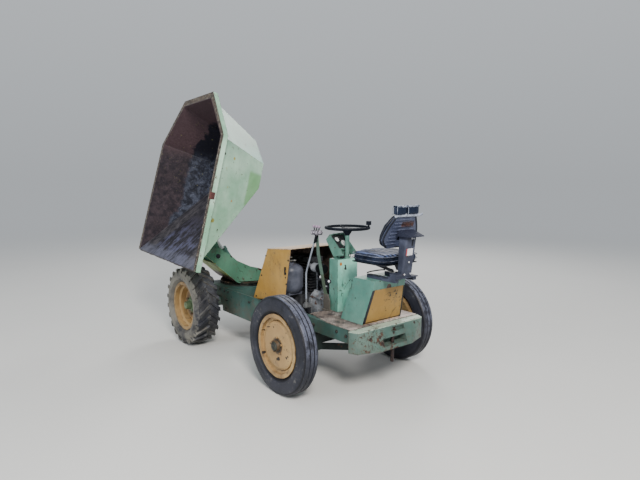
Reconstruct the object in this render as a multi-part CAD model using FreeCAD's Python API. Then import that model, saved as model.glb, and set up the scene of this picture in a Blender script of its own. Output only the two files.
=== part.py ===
import FreeCAD, Part
import math
import os
from FreeCAD import Placement, Rotation, Vector

os.makedirs("parts", exist_ok=True)

# A swivel skip site dumper, in millimetres. While it is built, X points forward from the rear axle,
# Y points to the driver's left, and Z is the height above the ground. Every piece is moved at the end
# so that the origin is on the ground below the middle of the whole machine.

# Wheels
WHEELBASE = 1489.0
FRONT_TYRE_RADIUS = 366.0
FRONT_TYRE_WIDTH = 236.0
FRONT_WHEEL_Y = 601.0
FRONT_FLANGE_RADIUS = 225.0
FRONT_RIM_WIDTH = 180.0
FRONT_DISC_OUT = 6.0
FRONT_HUB_DEPTH = 60.0
REAR_TYRE_RADIUS = 360.0
REAR_TYRE_WIDTH = 135.0
REAR_WHEEL_Y = 609.0
REAR_FLANGE_RADIUS = 233.0
REAR_RIM_WIDTH = 105.0
REAR_DISC_IN = 12.0
RIM_STEEL = 8.0
RIM_LIP = 20.0
TYRE_SEAT_GAP = 0.3
LUG_COUNT = 22
LUG_DEPTH = 24.0
RIB_DEPTH = 9.0

# Axles and steering
AXLE_TUBE_RADIUS = 52.0
AXLE_FLANGE_RADIUS = 62.0
KINGPIN_Y = 470.0
KINGPIN_RADIUS = 16.0
KINGPIN_GAP = 0.06
STUB_RADIUS = 24.0
STUB_GAP = 0.06
STEER_ARM_LENGTH = 130.0
TRACK_ROD_RADIUS = 12.0
BEAM_SIZE = 84.0
BEAM_ABOVE = 36.0
BEAM_BELOW = 44.0
BRACE_TOP = 290.0
SEAT_GAP = 0.3
HUB_GAP = 0.5
FRAME_AXLE_SEAT = FRONT_TYRE_RADIUS + AXLE_TUBE_RADIUS + 12.0
KNUCKLE_FORK_HALF = 48.0
KNUCKLE_EAR = 18.0
BALL_JOINT_RADIUS = 9.0

# Frame
FRAME_TOP = 518.0
FRAME_HALF_WIDTH = 345.0
FRAME_PLATE = 10.0
FRAME_FRONT_BOTTOM = 290.0
FRAME_REAR_BOTTOM = 418.0
FRAME_REAR_END = -440.0
FRAME_FRONT_END = 1725.0
FLANGE_WIDTH = 50.0
DECK_PLATE = 6.0
TOW_SLOT_HALF = 116.0
TOW_SLOT_Z = (386.0, 436.0)
TOW_PIN_X = -518.0
TOW_PIN_RADIUS = 13.0

# Slew ring and the skip's carrier
RING_RADIUS = 270.0
RING_HEIGHT = 32.0
TURNTABLE_PLATE = 13.0
PLATFORM_PLATE = 14.0
ARM_OFFSET = 200.0
ARM_PLATE = 12.0
CARRIER_TAIL = -235.0
CARRIER_TAIL_HEIGHT = 50.0
PIVOT_REACH = 401.0
PIVOT_HEIGHT = 832.0
PIVOT_PIN_RADIUS = 20.0
PIN_GAP = 0.06
LUG_PLATE = 14.0
LUG_SIDE_GAP = 9.0
SLEW_ANGLE = 85.1
TIP_ANGLE = 75.8

# Skip, in its own level frame: length back from the lip, half widths, depth
SKIP_LENGTH = 1533.0
SKIP_KINK = 1122.0
SKIP_DEPTH = 567.0
LIP_HALF = 823.0
KINK_HALF = 789.0
BACK_HALF = 356.0
RIM_WIDTH = 50.0
RIM_DEPTH = 42.0
SKIP_WALL = 6.0
FLOOR_FRONT = 811.0
FLOOR_BACK = 1269.0
FLOOR_FRONT_HALF = 473.0
FLOOR_BACK_HALF = 208.0
PIVOT_FROM_LIP = 123.0
PIVOT_BELOW_RIM = 433.0

# Tip ram
RAM_BASE_REACH = 100.0
RAM_BASE_HEIGHT = 615.0
RAM_EYE_FROM_LIP = 385.0
RAM_EYE_BELOW_RIM = 345.0
BARREL_RADIUS = 38.0
BARREL_LENGTH = 300.0
ROD_RADIUS = 19.0
RAM_PIN_RADIUS = 14.0
RAM_EAR_PLATE = 12.0
RAM_EAR_GAP = 2.0

# Bonnet and engine
BONNET_HALF_WIDTH = 290.0
BONNET_SHEET = 4.0
BONNET_FRONT_BOTTOM = (903.0, 488.0)
BONNET_FRONT_TOP = (666.0, 961.0)
BONNET_REAR_TOP = (331.0, 992.0)
BONNET_REAR_BOTTOM = (413.0, 565.0)

# Driver's place
TANK_PLACE = (466.0, 178.0)
TANK_RADIUS = 86.0
TANK_TOP = 848.0
TANK_FOOT = (590.3, 602.0)
AIR_CLEANER_PLACE = (340.0, 42.0, 822.0)
GEARBOX_TOP = 640.0
GEARBOX_FRONT = 329.0
GEARBOX_BELL_RADIUS = 108.0
SUMP_BOTTOM = 330.0
SPOOL_PLACE = (206.0, 122.0)
SPOOL_BOTTOM = 1112.0
COLUMN_HALF_WIDTH = 103.0
COLUMN_REAR = -30.0
COLUMN_DEPTH = 98.0
COLUMN_TOP = 936.0
SEAT_BOX_TOP = 845.0
SEAT_BOX_HALF = (200.0, 158.0)
STEERING_X = -12.0
STEERING_Y = -9.0
STEERING_WHEEL_RADIUS = 179.0
STEERING_WHEEL_HEIGHT = 1178.0
SEAT_MIDDLE_Y = -21.0
SEAT_RAIL_HEIGHT = 26.0
SEAT_RAIL_WIDTH = 36.0
SEAT_RAIL_OUT = 110.0
SEAT_PLATE = 8.0
HOUSING_HALF = 51.0
HOUSING_TOP = 1165.0
SEAT_PAN_BOTTOM = 958.0
SEAT_PAN_PLATE = 8.0
CUSHION_TOP = 1040.0
BACKREST_BOTTOM = 1078.0
BACKREST_TOP = 1316.0
BACK_PAD_DEPTH = 44.0
BACK_SHELL_DEPTH = 14.0
BACK_RIB_COUNT = 8
BACK_RIB_PITCH = 24.0
HEADREST_HEIGHT = 61.0


def box(x0, x1, y0, y1, z0, z1):
    return Part.makeBox(x1 - x0, y1 - y0, z1 - z0, Vector(x0, y0, z0))


def across(points, y0, y1):
    # A side outline of (x, z) points, carried across the machine from y0 to y1
    ring = [Vector(x, y0, z) for x, z in points]
    return Part.Face(Part.makePolygon(ring + ring[:1])).extrude(Vector(0, y1 - y0, 0))


def upward(points, z0, z1):
    # A plan outline of (x, y) points, carried up from z0 to z1
    ring = [Vector(x, y, z0) for x, y in points]
    return Part.Face(Part.makePolygon(ring + ring[:1])).extrude(Vector(0, 0, z1 - z0))


def rod(start, end, radius):
    run = end - start
    return Part.makeCylinder(radius, run.Length, start, run)


def bar_y(x, z, radius, y0, y1):
    return Part.makeCylinder(radius, y1 - y0, Vector(x, y0, z), Vector(0, 1, 0))


def post(x, y, radius, z0, z1):
    return Part.makeCylinder(radius, z1 - z0, Vector(x, y, z0), Vector(0, 0, 1))


def fuse(first, *others):
    return first.fuse(list(others)).removeSplitter()


def mirrored(shape):
    return shape.mirror(Vector(0, 0, 0), Vector(0, 1, 0))


def turned(outline, x, z):
    # Revolves an outline of (y, radius) points about the line across the machine at x, z
    ring = [Vector(x, y, z + radius) for y, radius in outline]
    face = Part.Face(Part.makePolygon(ring + ring[:1]))
    return face.revolve(Vector(x, 0, z), Vector(0, 1, 0), 360)


def bent_rod(points, radius, bend):
    # A round bar along straight runs joined by tangent arcs of one bend radius
    edges = []
    start = points[0]
    for before, corner, after in zip(points, points[1:], points[2:]):
        into = (corner - before).normalize()
        out = (after - corner).normalize()
        half_turn = into.getAngle(out) / 2
        cut = bend * math.tan(half_turn)
        arc_start = corner - into * cut
        arc_end = corner + out * cut
        inward = (out - into).normalize()
        middle = corner + inward * (bend / math.cos(half_turn) - bend)
        edges.append(Part.LineSegment(start, arc_start).toShape())
        edges.append(Part.Arc(arc_start, middle, arc_end).toShape())
        start = arc_end
    edges.append(Part.LineSegment(start, points[-1]).toShape())
    path = Part.Wire(edges)
    end_face = Part.Wire([Part.makeCircle(radius, points[0], points[1] - points[0])])
    return path.makePipeShell([end_face], True, False)


# Wheels

def tyre_side(width, crown, rim_width, rim_radius):
    # Half of the section, from the bead over the wall to the tread, as (y, radius) points
    seat = rim_radius - RIM_LIP + TYRE_SEAT_GAP
    height = crown - seat
    bead_half = rim_width / 2 - RIM_STEEL - TYRE_SEAT_GAP
    half = width / 2
    shares = [(0.97, 0.34), (1.0, 0.55), (0.95, 0.76), (0.84, 0.93), (0.62, 1.0)]
    wall = [(half * across_share, seat + height * up_share) for across_share, up_share in shares]
    return [(bead_half, seat), (bead_half, seat + 0.16 * height)] + wall


def make_carcass(x, y, z, side, grooves=()):
    # grooves are points on the tread, from the left shoulder to the right one
    outline = side + list(grooves) + [(-across_tyre, r) for across_tyre, r in reversed(side)]
    return turned([(y + across_tyre, r) for across_tyre, r in outline], x, z)


def tread_point(angle, y, radius):
    # angle is in degrees from the top of the front wheel towards the front
    turn = math.radians(angle)
    return Vector(WHEELBASE + radius * math.sin(turn), FRONT_WHEEL_Y + y,
                  FRONT_TYRE_RADIUS + radius * math.cos(turn))


def skinned(rings):
    # A solid through closed rings of points, one after the other, with three-cornered faces
    faces = []
    count = len(rings[0])
    for near, far in zip(rings, rings[1:]):
        for i in range(count):
            j = (i + 1) % count
            for corners in ([near[i], near[j], far[j]], [near[i], far[j], far[i]]):
                faces.append(Part.Face(Part.makePolygon(corners + corners[:1])))
    for ring in (rings[0], rings[-1]):
        for i in range(1, count - 1):
            corners = [ring[0], ring[i], ring[i + 1]]
            faces.append(Part.Face(Part.makePolygon(corners + corners[:1])))
    solid = Part.makeSolid(Part.makeShell(faces))
    if solid.Volume < 0:
        solid.reverse()
    return solid


def make_lug(angle, side):
    # One chevron bar: where it starts near the middle, at the shoulder, and down on the side wall
    stations = [
        # y, degrees behind the start, top radius, base radius, top width, base width
        (-4, 0.0, FRONT_TYRE_RADIUS, 330, 30, 42),
        (104, 15.0, FRONT_TYRE_RADIUS - 10, 316, 36, 50),
        (117, 16.5, FRONT_TYRE_RADIUS - 50, 296, 30, 44),
    ]
    rings = []
    for y, behind, top, base, top_width, base_width in stations:
        ring = []
        for radius, width in ((top, top_width), (base, base_width)):
            half_turn = math.degrees(width / 2 / FRONT_TYRE_RADIUS)
            ring.append([tread_point(angle - behind + sign * half_turn, side * y, radius)
                         for sign in (-1, 1)])
        rings.append([ring[0][0], ring[0][1], ring[1][1], ring[1][0]])
    inner = [point + Vector(0, -side * 30, 0) for point in rings[2][2:]]
    rings[2] = rings[2][:2] + inner
    return skinned(rings)


def make_front_tyre():
    side = tyre_side(FRONT_TYRE_WIDTH, FRONT_TYRE_RADIUS - LUG_DEPTH, FRONT_RIM_WIDTH,
                     FRONT_FLANGE_RADIUS)
    carcass = make_carcass(WHEELBASE, FRONT_WHEEL_Y, FRONT_TYRE_RADIUS, side)
    lugs = []
    pitch = 360.0 / LUG_COUNT
    for index in range(LUG_COUNT):
        lugs.append(make_lug(index * pitch, 1))
        lugs.append(make_lug((index + 0.5) * pitch, -1))
    return carcass.fuse(lugs)


def make_rear_tyre():
    side = tyre_side(REAR_TYRE_WIDTH, REAR_TYRE_RADIUS, REAR_RIM_WIDTH, REAR_FLANGE_RADIUS)
    depth = REAR_TYRE_RADIUS - RIB_DEPTH
    left = [(22, REAR_TYRE_RADIUS), (20, depth), (15, depth), (13, REAR_TYRE_RADIUS)]
    grooves = left + [(-across_tyre, r) for across_tyre, r in reversed(left)]
    return make_carcass(0.0, REAR_WHEEL_Y, REAR_TYRE_RADIUS, side, grooves)


def rim_shell(y, radius, rim_width, flange_radius):
    # Flanges, bead seats and the well between them, as (y, radius) points
    half = rim_width / 2
    seat = flange_radius - RIM_LIP
    well = seat - 22
    top = [(-half, flange_radius), (-half + RIM_STEEL, flange_radius), (-half + RIM_STEEL, seat),
           (-half * 0.5, seat), (-half * 0.38, well), (half * 0.38, well), (half * 0.5, seat),
           (half - RIM_STEEL, seat), (half - RIM_STEEL, flange_radius), (half, flange_radius)]
    under = [(half, seat - RIM_STEEL), (half * 0.55, seat - RIM_STEEL), (half * 0.43, well - RIM_STEEL),
             (-half * 0.43, well - RIM_STEEL), (-half * 0.55, seat - RIM_STEEL), (-half, seat - RIM_STEEL)]
    return [(y + a, r) for a, r in top + under], well - RIM_STEEL


def bolt_ring(x, z, y0, y1, ring_radius, bolt_radius, count):
    studs = []
    for index in range(count):
        angle = math.radians(360.0 * index / count + 90)
        studs.append(bar_y(x + ring_radius * math.cos(angle), z + ring_radius * math.sin(angle),
                           bolt_radius, y0, y1))
    return studs


def make_front_wheel():
    x, z, y = WHEELBASE, FRONT_TYRE_RADIUS, FRONT_WHEEL_Y
    shell, inner = rim_shell(y, z, FRONT_RIM_WIDTH, FRONT_FLANGE_RADIUS)
    disc_y = y + FRONT_DISC_OUT
    disc = [(disc_y - 30, inner), (disc_y - 30 + RIM_STEEL, inner), (disc_y, 140), (disc_y, 58),
            (disc_y - RIM_STEEL, 58), (disc_y - RIM_STEEL, 140), (disc_y - 34, inner - 6)]
    hub_back = disc_y - FRONT_HUB_DEPTH
    hub = [(hub_back, 58), (disc_y + 18, 58), (disc_y + 22, 40), (disc_y + 62, 36),
           (disc_y + 62, 0.0), (hub_back, 0.0)]
    nuts = bolt_ring(x, z, disc_y, disc_y + 20, 84, 11, 6)
    return fuse(turned(shell, x, z), turned(disc, x, z), turned(hub, x, z), *nuts)


def make_rear_wheel():
    x, z, y = 0.0, REAR_TYRE_RADIUS, REAR_WHEEL_Y
    shell, inner = rim_shell(y, z, REAR_RIM_WIDTH, REAR_FLANGE_RADIUS)
    face = y + REAR_RIM_WIDTH / 2 - REAR_DISC_IN
    disc = [(y + 2, inner), (y + 2 + RIM_STEEL, inner), (face - 8, 178), (face, 160), (face, 40),
            (face - RIM_STEEL, 40), (face - RIM_STEEL, 157), (face - 16, 172), (y - 2, inner - 6)]
    bore = STUB_RADIUS + STUB_GAP
    hub = [(y - 38, bore), (y - 38, 44), (face, 44), (face + 4, 40), (face + 26, 36), (face + 30, 30),
           (face + 30, 0.0), (face + 12, 0.0), (face + 12, bore)]
    nuts = bolt_ring(x, z, face, face + 12, 58, 8, 5)
    return fuse(turned(shell, x, z), turned(disc, x, z), turned(hub, x, z), *nuts)


# Axles and steering

def make_front_axle():
    x, z = WHEELBASE, FRONT_TYRE_RADIUS
    inner_face = FRONT_WHEEL_Y + FRONT_DISC_OUT - FRONT_HUB_DEPTH
    half = inner_face - HUB_GAP
    tube = bar_y(x, z, AXLE_TUBE_RADIUS, -half, half)
    casing = turned([(-105, AXLE_TUBE_RADIUS), (-60, 92), (60, 92), (105, AXLE_TUBE_RADIUS), (105, 0),
                     (-105, 0)], x, z)
    flanges = [turned([(side * half, 0), (side * half, AXLE_FLANGE_RADIUS),
                       (side * (half - 16), AXLE_FLANGE_RADIUS), (side * (half - 16), 0)], x, z)
               for side in (1, -1)]
    pinion = rod(Vector(x - 60, 0, z), Vector(x - 190, 0, z + 12), 36)
    pads = [box(x - 55, x + 55, side * 290 - 45, side * 290 + 45, z + 20, FRAME_AXLE_SEAT)
            for side in (1, -1)]
    return fuse(tube, casing, pinion, *(flanges + pads))


def make_rear_axle():
    z = REAR_TYRE_RADIUS
    eye_radius = 34.0
    eye_height = 46.0
    beam_half = KINGPIN_Y - 6
    solids = [box(-BEAM_SIZE / 2, BEAM_SIZE / 2, -beam_half, beam_half, z - BEAM_BELOW, z + BEAM_ABOVE)]
    for side in (1, -1):
        solids.append(post(0, side * KINGPIN_Y, eye_radius, z - eye_height, z + eye_height))
    body = fuse(*solids)
    for side in (1, -1):
        body = body.cut(post(0, side * KINGPIN_Y, KINGPIN_RADIUS + KINGPIN_GAP, z - eye_height - 1,
                             z + eye_height + 1))
    return body


def make_axle_brace():
    # The left bar of the V below the axle, from the beam's underside back to the frame's pivot
    foot = Vector(-10, 290, REAR_TYRE_RADIUS - 73)
    apex = Vector(-170, 14, 262)
    bar = brace(foot, apex, 22, 48)
    pad = box(-40, 30, 262, 318, REAR_TYRE_RADIUS - 97, REAR_TYRE_RADIUS - BEAM_BELOW)
    end = box(-205, -150, 0.5, 30, 238, BRACE_TOP)
    return fuse(bar, pad, end)


def brace(start, end, thick, high):
    # A flat bar on edge between two points
    run = end - start
    bar = Part.makeBox(run.Length, thick, high, Vector(0, -thick / 2, -high / 2))
    turn = Rotation(Vector(1, 0, 0), run)
    level = Rotation(Vector(0, 0, 1), math.degrees(math.atan2(run.y, run.x)))
    pitch = Rotation(Vector(0, 1, 0), -math.degrees(math.asin(run.z / run.Length)))
    bar.Placement = Placement(start, level.multiply(pitch))
    return bar


def make_knuckle():
    # The left knuckle: a fork round the beam's eye, its kingpin, the stub axle and the steering arm
    z = REAR_TYRE_RADIUS
    fork_top = z + KNUCKLE_FORK_HALF
    fork_bottom = z - KNUCKLE_FORK_HALF
    low = fork_bottom - KNUCKLE_EAR
    high = fork_top + KNUCKLE_EAR
    pin = post(0, KINGPIN_Y, KINGPIN_RADIUS, low - 8, high + 8)
    ears = [post(0, KINGPIN_Y, 32, z0, z0 + KNUCKLE_EAR) for z0 in (fork_top, low)]
    back_y = KINGPIN_Y + 40
    back = box(-30, 30, back_y, back_y + 16, low, high)
    webs = [box(-26, 26, KINGPIN_Y, back_y + 8, z0, z0 + KNUCKLE_EAR) for z0 in (fork_top, low)]
    stub_end = REAR_WHEEL_Y + REAR_RIM_WIDTH / 2 - REAR_DISC_IN + 10
    stub = bar_y(0, z, STUB_RADIUS, back_y, stub_end)
    arm = box(0, STEER_ARM_LENGTH + 20, KINGPIN_Y - 16, KINGPIN_Y + 16, low, low + 14)
    joint = post(STEER_ARM_LENGTH, KINGPIN_Y, BALL_JOINT_RADIUS, low - 26, low + 14)
    return fuse(pin, *ears, back, *webs, stub, arm, joint)


def make_track_rod():
    low = REAR_TYRE_RADIUS - KNUCKLE_FORK_HALF - KNUCKLE_EAR
    z = low - 14
    bar = bar_y(STEER_ARM_LENGTH, z, TRACK_ROD_RADIUS, -KINGPIN_Y + 16, KINGPIN_Y - 16)
    eyes = [post(STEER_ARM_LENGTH, side * KINGPIN_Y, 19, z - 11, z + 11) for side in (1, -1)]
    body = fuse(bar, *eyes)
    for side in (1, -1):
        body = body.cut(post(STEER_ARM_LENGTH, side * KINGPIN_Y, BALL_JOINT_RADIUS + PIN_GAP, z - 12, z + 12))
    return body


# Frame

def side_plate_outline():
    return [(FRAME_REAR_END, FRAME_REAR_BOTTOM), (90, FRAME_REAR_BOTTOM), (330, FRAME_FRONT_BOTTOM),
            (WHEELBASE - 120, FRAME_FRONT_BOTTOM), (WHEELBASE - 90, FRAME_AXLE_SEAT),
            (FRAME_FRONT_END, FRAME_AXLE_SEAT), (FRAME_FRONT_END, FRAME_TOP),
            (FRAME_REAR_END, FRAME_TOP)]


def make_side_plate():
    plate = across(side_plate_outline(), FRAME_HALF_WIDTH - FRAME_PLATE, FRAME_HALF_WIDTH)
    flange = box(FRAME_REAR_END, 380, FRAME_HALF_WIDTH - FLANGE_WIDTH, FRAME_HALF_WIDTH,
                 FRAME_TOP - FRAME_PLATE, FRAME_TOP)
    body = fuse(plate, flange)
    # Bolt holes seen in the plate behind the front wheel: x, z, radius
    for x, z, radius in [(1209, 448, 9), (1195, 339, 9), (860, 470, 7)]:
        body = body.cut(bar_y(x, z, radius, FRAME_HALF_WIDTH - FRAME_PLATE - 1, FRAME_HALF_WIDTH + 1))
    return body


def make_platform():
    # The front platform under the slew ring, with the cross plates that tie the side plates
    inner = FRAME_HALF_WIDTH - FRAME_PLATE
    back = WHEELBASE - RING_RADIUS - 30
    top = box(back, FRAME_FRONT_END, -inner, inner, FRAME_TOP - PLATFORM_PLATE, FRAME_TOP)
    front_plate = box(FRAME_FRONT_END - FRAME_PLATE, FRAME_FRONT_END, -inner, inner,
                      FRAME_AXLE_SEAT, FRAME_TOP - PLATFORM_PLATE)
    back_plate = box(back, back + FRAME_PLATE, -inner, inner, FRAME_FRONT_BOTTOM + 20,
                     FRAME_TOP - PLATFORM_PLATE)
    return fuse(top, front_plate, back_plate)


def make_crossmember():
    inner = FRAME_HALF_WIDTH - FRAME_PLATE
    z = REAR_TYRE_RADIUS
    beam = box(-60, 60, -inner, inner, FRAME_REAR_BOTTOM + 22, FRAME_TOP - FRAME_PLATE)
    saddle = box(-30, 30, -70, 70, z + BEAM_ABOVE + SEAT_GAP, FRAME_REAR_BOTTOM + 22)
    hanger = box(-230, -218, -40, 40, 240, FRAME_REAR_BOTTOM + 22)
    tail = box(-230, -60, -40, 40, FRAME_REAR_BOTTOM + 22, FRAME_TOP - FRAME_PLATE)
    socket = post(-176, 0, 24, BRACE_TOP + SEAT_GAP, FRAME_REAR_BOTTOM + 22)
    return fuse(beam, saddle, hanger, tail, socket)


def make_deck():
    half = FRAME_HALF_WIDTH - 2
    outline = [(FRAME_REAR_END, half), (-190, half), (40, 292), (75, 292), (75, -292), (40, -292),
               (-190, -half), (FRAME_REAR_END, -half)]
    return upward(outline, FRAME_TOP, FRAME_TOP + DECK_PLATE)


def make_slew_base():
    z = FRAME_TOP
    top = z + RING_HEIGHT - TURNTABLE_PLATE - SEAT_GAP
    return turned_up([(0, z), (RING_RADIUS, z), (RING_RADIUS, z + 12), (RING_RADIUS - 30, z + 12),
                      (RING_RADIUS - 30, top), (0, top)], WHEELBASE)


def turned_up(outline, x):
    # Revolves an outline of (radius, z) points about the upright line at x
    ring = [Vector(x + radius, 0, z) for radius, z in outline]
    face = Part.Face(Part.makePolygon(ring + ring[:1]))
    return face.revolve(Vector(x, 0, 0), Vector(0, 0, 1), 360)


# Counterweight at the back, with the tow slot

def counterweight_plan():
    return [(FRAME_REAR_END, 360), (-505, 333), (-565, 156), (-565, -156), (-505, -333),
            (FRAME_REAR_END, -360)]


def make_counterweight():
    top = FRAME_TOP - 2
    bottom = 358.0
    block = upward(counterweight_plan(), bottom, top)
    slope = across([(-570, bottom - 1), (-565, bottom), (-508, top), (-508, top + 1), (-570, top + 1)],
                   -400, 400)
    slope = slope.common(box(-600, -450, -400, 400, bottom - 2, top + 2))
    block = block.cut(slope)
    slot = box(-600, -475, -TOW_SLOT_HALF, TOW_SLOT_HALF, TOW_SLOT_Z[0], TOW_SLOT_Z[1])
    pocket = box(-600, -500, -118, 22, 470, 497)
    bore = post(TOW_PIN_X, 0, TOW_PIN_RADIUS + 0.3, bottom - 1, top + 1)
    return block.cut(slot).cut(pocket).cut(bore)


def make_tow_pin():
    return post(TOW_PIN_X, 0, TOW_PIN_RADIUS, 245, 462)


# Skip carrier on the slew ring. It is built facing forward and swivelled at the end.

def arm_outline():
    # Reach from the slew axis and height, clockwise from the tail
    base = FRAME_TOP + RING_HEIGHT
    points = [(CARRIER_TAIL, base), (-24, base), (217, 574), (450, 783), (520, 846), (500, 885),
              (440, 915), (372, 905), (330, 868), (266, 827), (206, 773), (31, 688), (-53, 648),
              (CARRIER_TAIL, base + CARRIER_TAIL_HEIGHT)]
    return [(WHEELBASE + reach, z) for reach, z in points]


def make_carrier():
    base = FRAME_TOP + RING_HEIGHT
    inner = ARM_OFFSET - ARM_PLATE / 2
    arms = [across(arm_outline(), side * ARM_OFFSET - ARM_PLATE / 2, side * ARM_OFFSET + ARM_PLATE / 2)
            for side in (1, -1)]
    plate_low = base - TURNTABLE_PLATE
    ring = turned_up([(0, plate_low), (RING_RADIUS - 4, plate_low), (RING_RADIUS - 4, base), (0, base)],
                     WHEELBASE)
    table = box(WHEELBASE + CARRIER_TAIL, WHEELBASE + 190, -inner, inner, base, base + 12)
    under = across([(WHEELBASE + 180, base + 2), (WHEELBASE + 217, 566), (WHEELBASE + 436, 763),
                    (WHEELBASE + 428, 771), (WHEELBASE + 217, 580), (WHEELBASE + 180, base + 14)],
                   -inner - 34, inner + 34)
    cross = box(WHEELBASE + CARRIER_TAIL, WHEELBASE + CARRIER_TAIL + ARM_PLATE, -inner, inner, base,
                base + CARRIER_TAIL_HEIGHT)
    body = fuse(ring, table, cross, *arms)
    body = fuse(body, under)
    ear_y = BARREL_RADIUS + RAM_EAR_GAP
    pin_x = WHEELBASE + RAM_BASE_REACH
    ear = [(pin_x - 45, base + 12), (pin_x + 45, base + 12), (pin_x + 22, RAM_BASE_HEIGHT + 24),
           (pin_x - 22, RAM_BASE_HEIGHT + 24)]
    ears = [across(ear, y0, y0 + RAM_EAR_PLATE) for y0 in (ear_y, -ear_y - RAM_EAR_PLATE)]
    pin_half = ear_y + RAM_EAR_PLATE + 6
    ram_pin = bar_y(pin_x, RAM_BASE_HEIGHT, RAM_PIN_RADIUS, -pin_half, pin_half)
    body = fuse(body, ram_pin, *ears)
    hole = bar_y(WHEELBASE + PIVOT_REACH, PIVOT_HEIGHT, PIVOT_PIN_RADIUS + PIN_GAP, -260, 260)
    return body.cut(hole)


def make_pivot_pin():
    half = ARM_OFFSET + ARM_PLATE / 2 + 14
    return bar_y(WHEELBASE + PIVOT_REACH, PIVOT_HEIGHT, PIVOT_PIN_RADIUS, -half, half)


# Skip. Points are (back from the lip, half width, depth below the rim); x is minus the first.

def skip_point(back, side, depth):
    return Vector(-back, side, -depth)


def plane(a, b, c):
    # A plane through three points as (normal, offset), with the normal set to point out of the skip
    normal = (b - a).cross(c - a).normalize()
    centre = skip_point(SKIP_KINK * 0.8, 0, SKIP_DEPTH * 0.3)
    if normal.dot(centre - a) > 0:
        normal = normal * -1
    return normal, normal.dot(a)


def meet(first, second, third):
    # The point where three planes meet
    (n1, d1), (n2, d2), (n3, d3) = first, second, third
    total = n2.cross(n3) * d1 + n3.cross(n1) * d2 + n1.cross(n2) * d3
    return total * (1.0 / n1.dot(n2.cross(n3)))


def skip_planes(inset):
    # The outside planes of the skip's panels, moved in by inset
    lip_half = LIP_HALF - RIM_WIDTH
    kink_half = KINK_HALF - RIM_WIDTH
    back_half = BACK_HALF - RIM_WIDTH * 0.4
    back = SKIP_LENGTH - RIM_WIDTH
    left_lip = skip_point(0, lip_half, 0)
    right_lip = skip_point(0, -lip_half, 0)
    kink = skip_point(SKIP_KINK, kink_half, 0)
    rear = skip_point(back, back_half, 0)
    front_floor = skip_point(FLOOR_FRONT, FLOOR_FRONT_HALF, SKIP_DEPTH)
    back_floor = skip_point(FLOOR_BACK, FLOOR_BACK_HALF, SKIP_DEPTH)
    outside = {
        "chute": plane(left_lip, right_lip, front_floor),
        "floor": (Vector(0, 0, -1), SKIP_DEPTH),
        "side": plane(left_lip, kink, front_floor),
        "corner": plane(kink, rear, back_floor),
        "back": plane(rear, skip_point(back, -back_half, 0), back_floor),
        "mouth": (Vector(0, 0, 1), 0.0),
    }
    moved = {}
    for name, (normal, offset) in outside.items():
        moved[name] = (normal, offset if name == "mouth" else offset - inset)
    for name in ("side", "corner"):
        normal, offset = moved[name]
        moved[name + "_right"] = (Vector(normal.x, -normal.y, normal.z), offset)
    return moved


def corner_points(inset):
    # The skip's corners at this inset, for the left side: rim corners, then floor corners
    p = skip_planes(inset)
    return {
        "lip": meet(p["chute"], p["side"], p["mouth"]),
        "kink": meet(p["side"], p["corner"], p["mouth"]),
        "rear": meet(p["corner"], p["back"], p["mouth"]),
        "front_floor": meet(p["chute"], p["side"], p["floor"]),
        "mid_floor": meet(p["side"], p["corner"], p["floor"]),
        "back_floor": meet(p["corner"], p["back"], p["floor"]),
    }


def slab(outer, inner):
    # A panel between its outside and inside outlines, with mitred edges
    count = len(outer)
    faces = [Part.Face(Part.makePolygon(outer + outer[:1])), Part.Face(Part.makePolygon(inner + inner[:1]))]
    for i in range(count):
        j = (i + 1) % count
        quad = [outer[i], outer[j], inner[j], inner[i], outer[i]]
        faces.append(Part.Face(Part.makePolygon(quad)))
    solid = Part.makeSolid(Part.makeShell(faces))
    if solid.Volume < 0:
        solid.reverse()
    return solid


def flip(point):
    return Vector(point.x, -point.y, point.z)


def skip_panel(names):
    # names are corners, where a leading minus sign means the right side's corner
    rings = []
    for inset in (0.0, SKIP_WALL):
        corners = corner_points(inset)
        ring = []
        for name in names:
            ring.append(flip(corners[name[1:]]) if name[0] == "-" else corners[name])
        rings.append(ring)
    return slab(rings[0], rings[1])


def make_rim():
    # A box section round the mouth on three sides, open at the lip
    outer = [(0, LIP_HALF), (SKIP_KINK, KINK_HALF), (SKIP_LENGTH, BACK_HALF), (SKIP_LENGTH, -BACK_HALF),
             (SKIP_KINK, -KINK_HALF), (0, -LIP_HALF)]
    ring = [skip_point(back, side, 0) for back, side in outer]
    block = Part.Face(Part.makePolygon(ring + ring[:1])).extrude(Vector(0, 0, -RIM_DEPTH))
    return block.cut(skip_outside())


def skip_outside():
    # The solid outline of the panels, a little higher than the mouth, used to trim what meets them
    corners = corner_points(0.0)
    lifted = skip_planes(0.0)
    lifted["mouth"] = (Vector(0, 0, 1), 20.0)
    top = [meet(lifted["chute"], lifted["side"], lifted["mouth"]),
           meet(lifted["side"], lifted["corner"], lifted["mouth"]),
           meet(lifted["corner"], lifted["back"], lifted["mouth"])]
    top = top + [flip(point) for point in reversed(top)]
    low = [corners["front_floor"], corners["mid_floor"], corners["back_floor"]]
    low = low + [flip(point) for point in reversed(low)]
    return slab(top, low)


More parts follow.
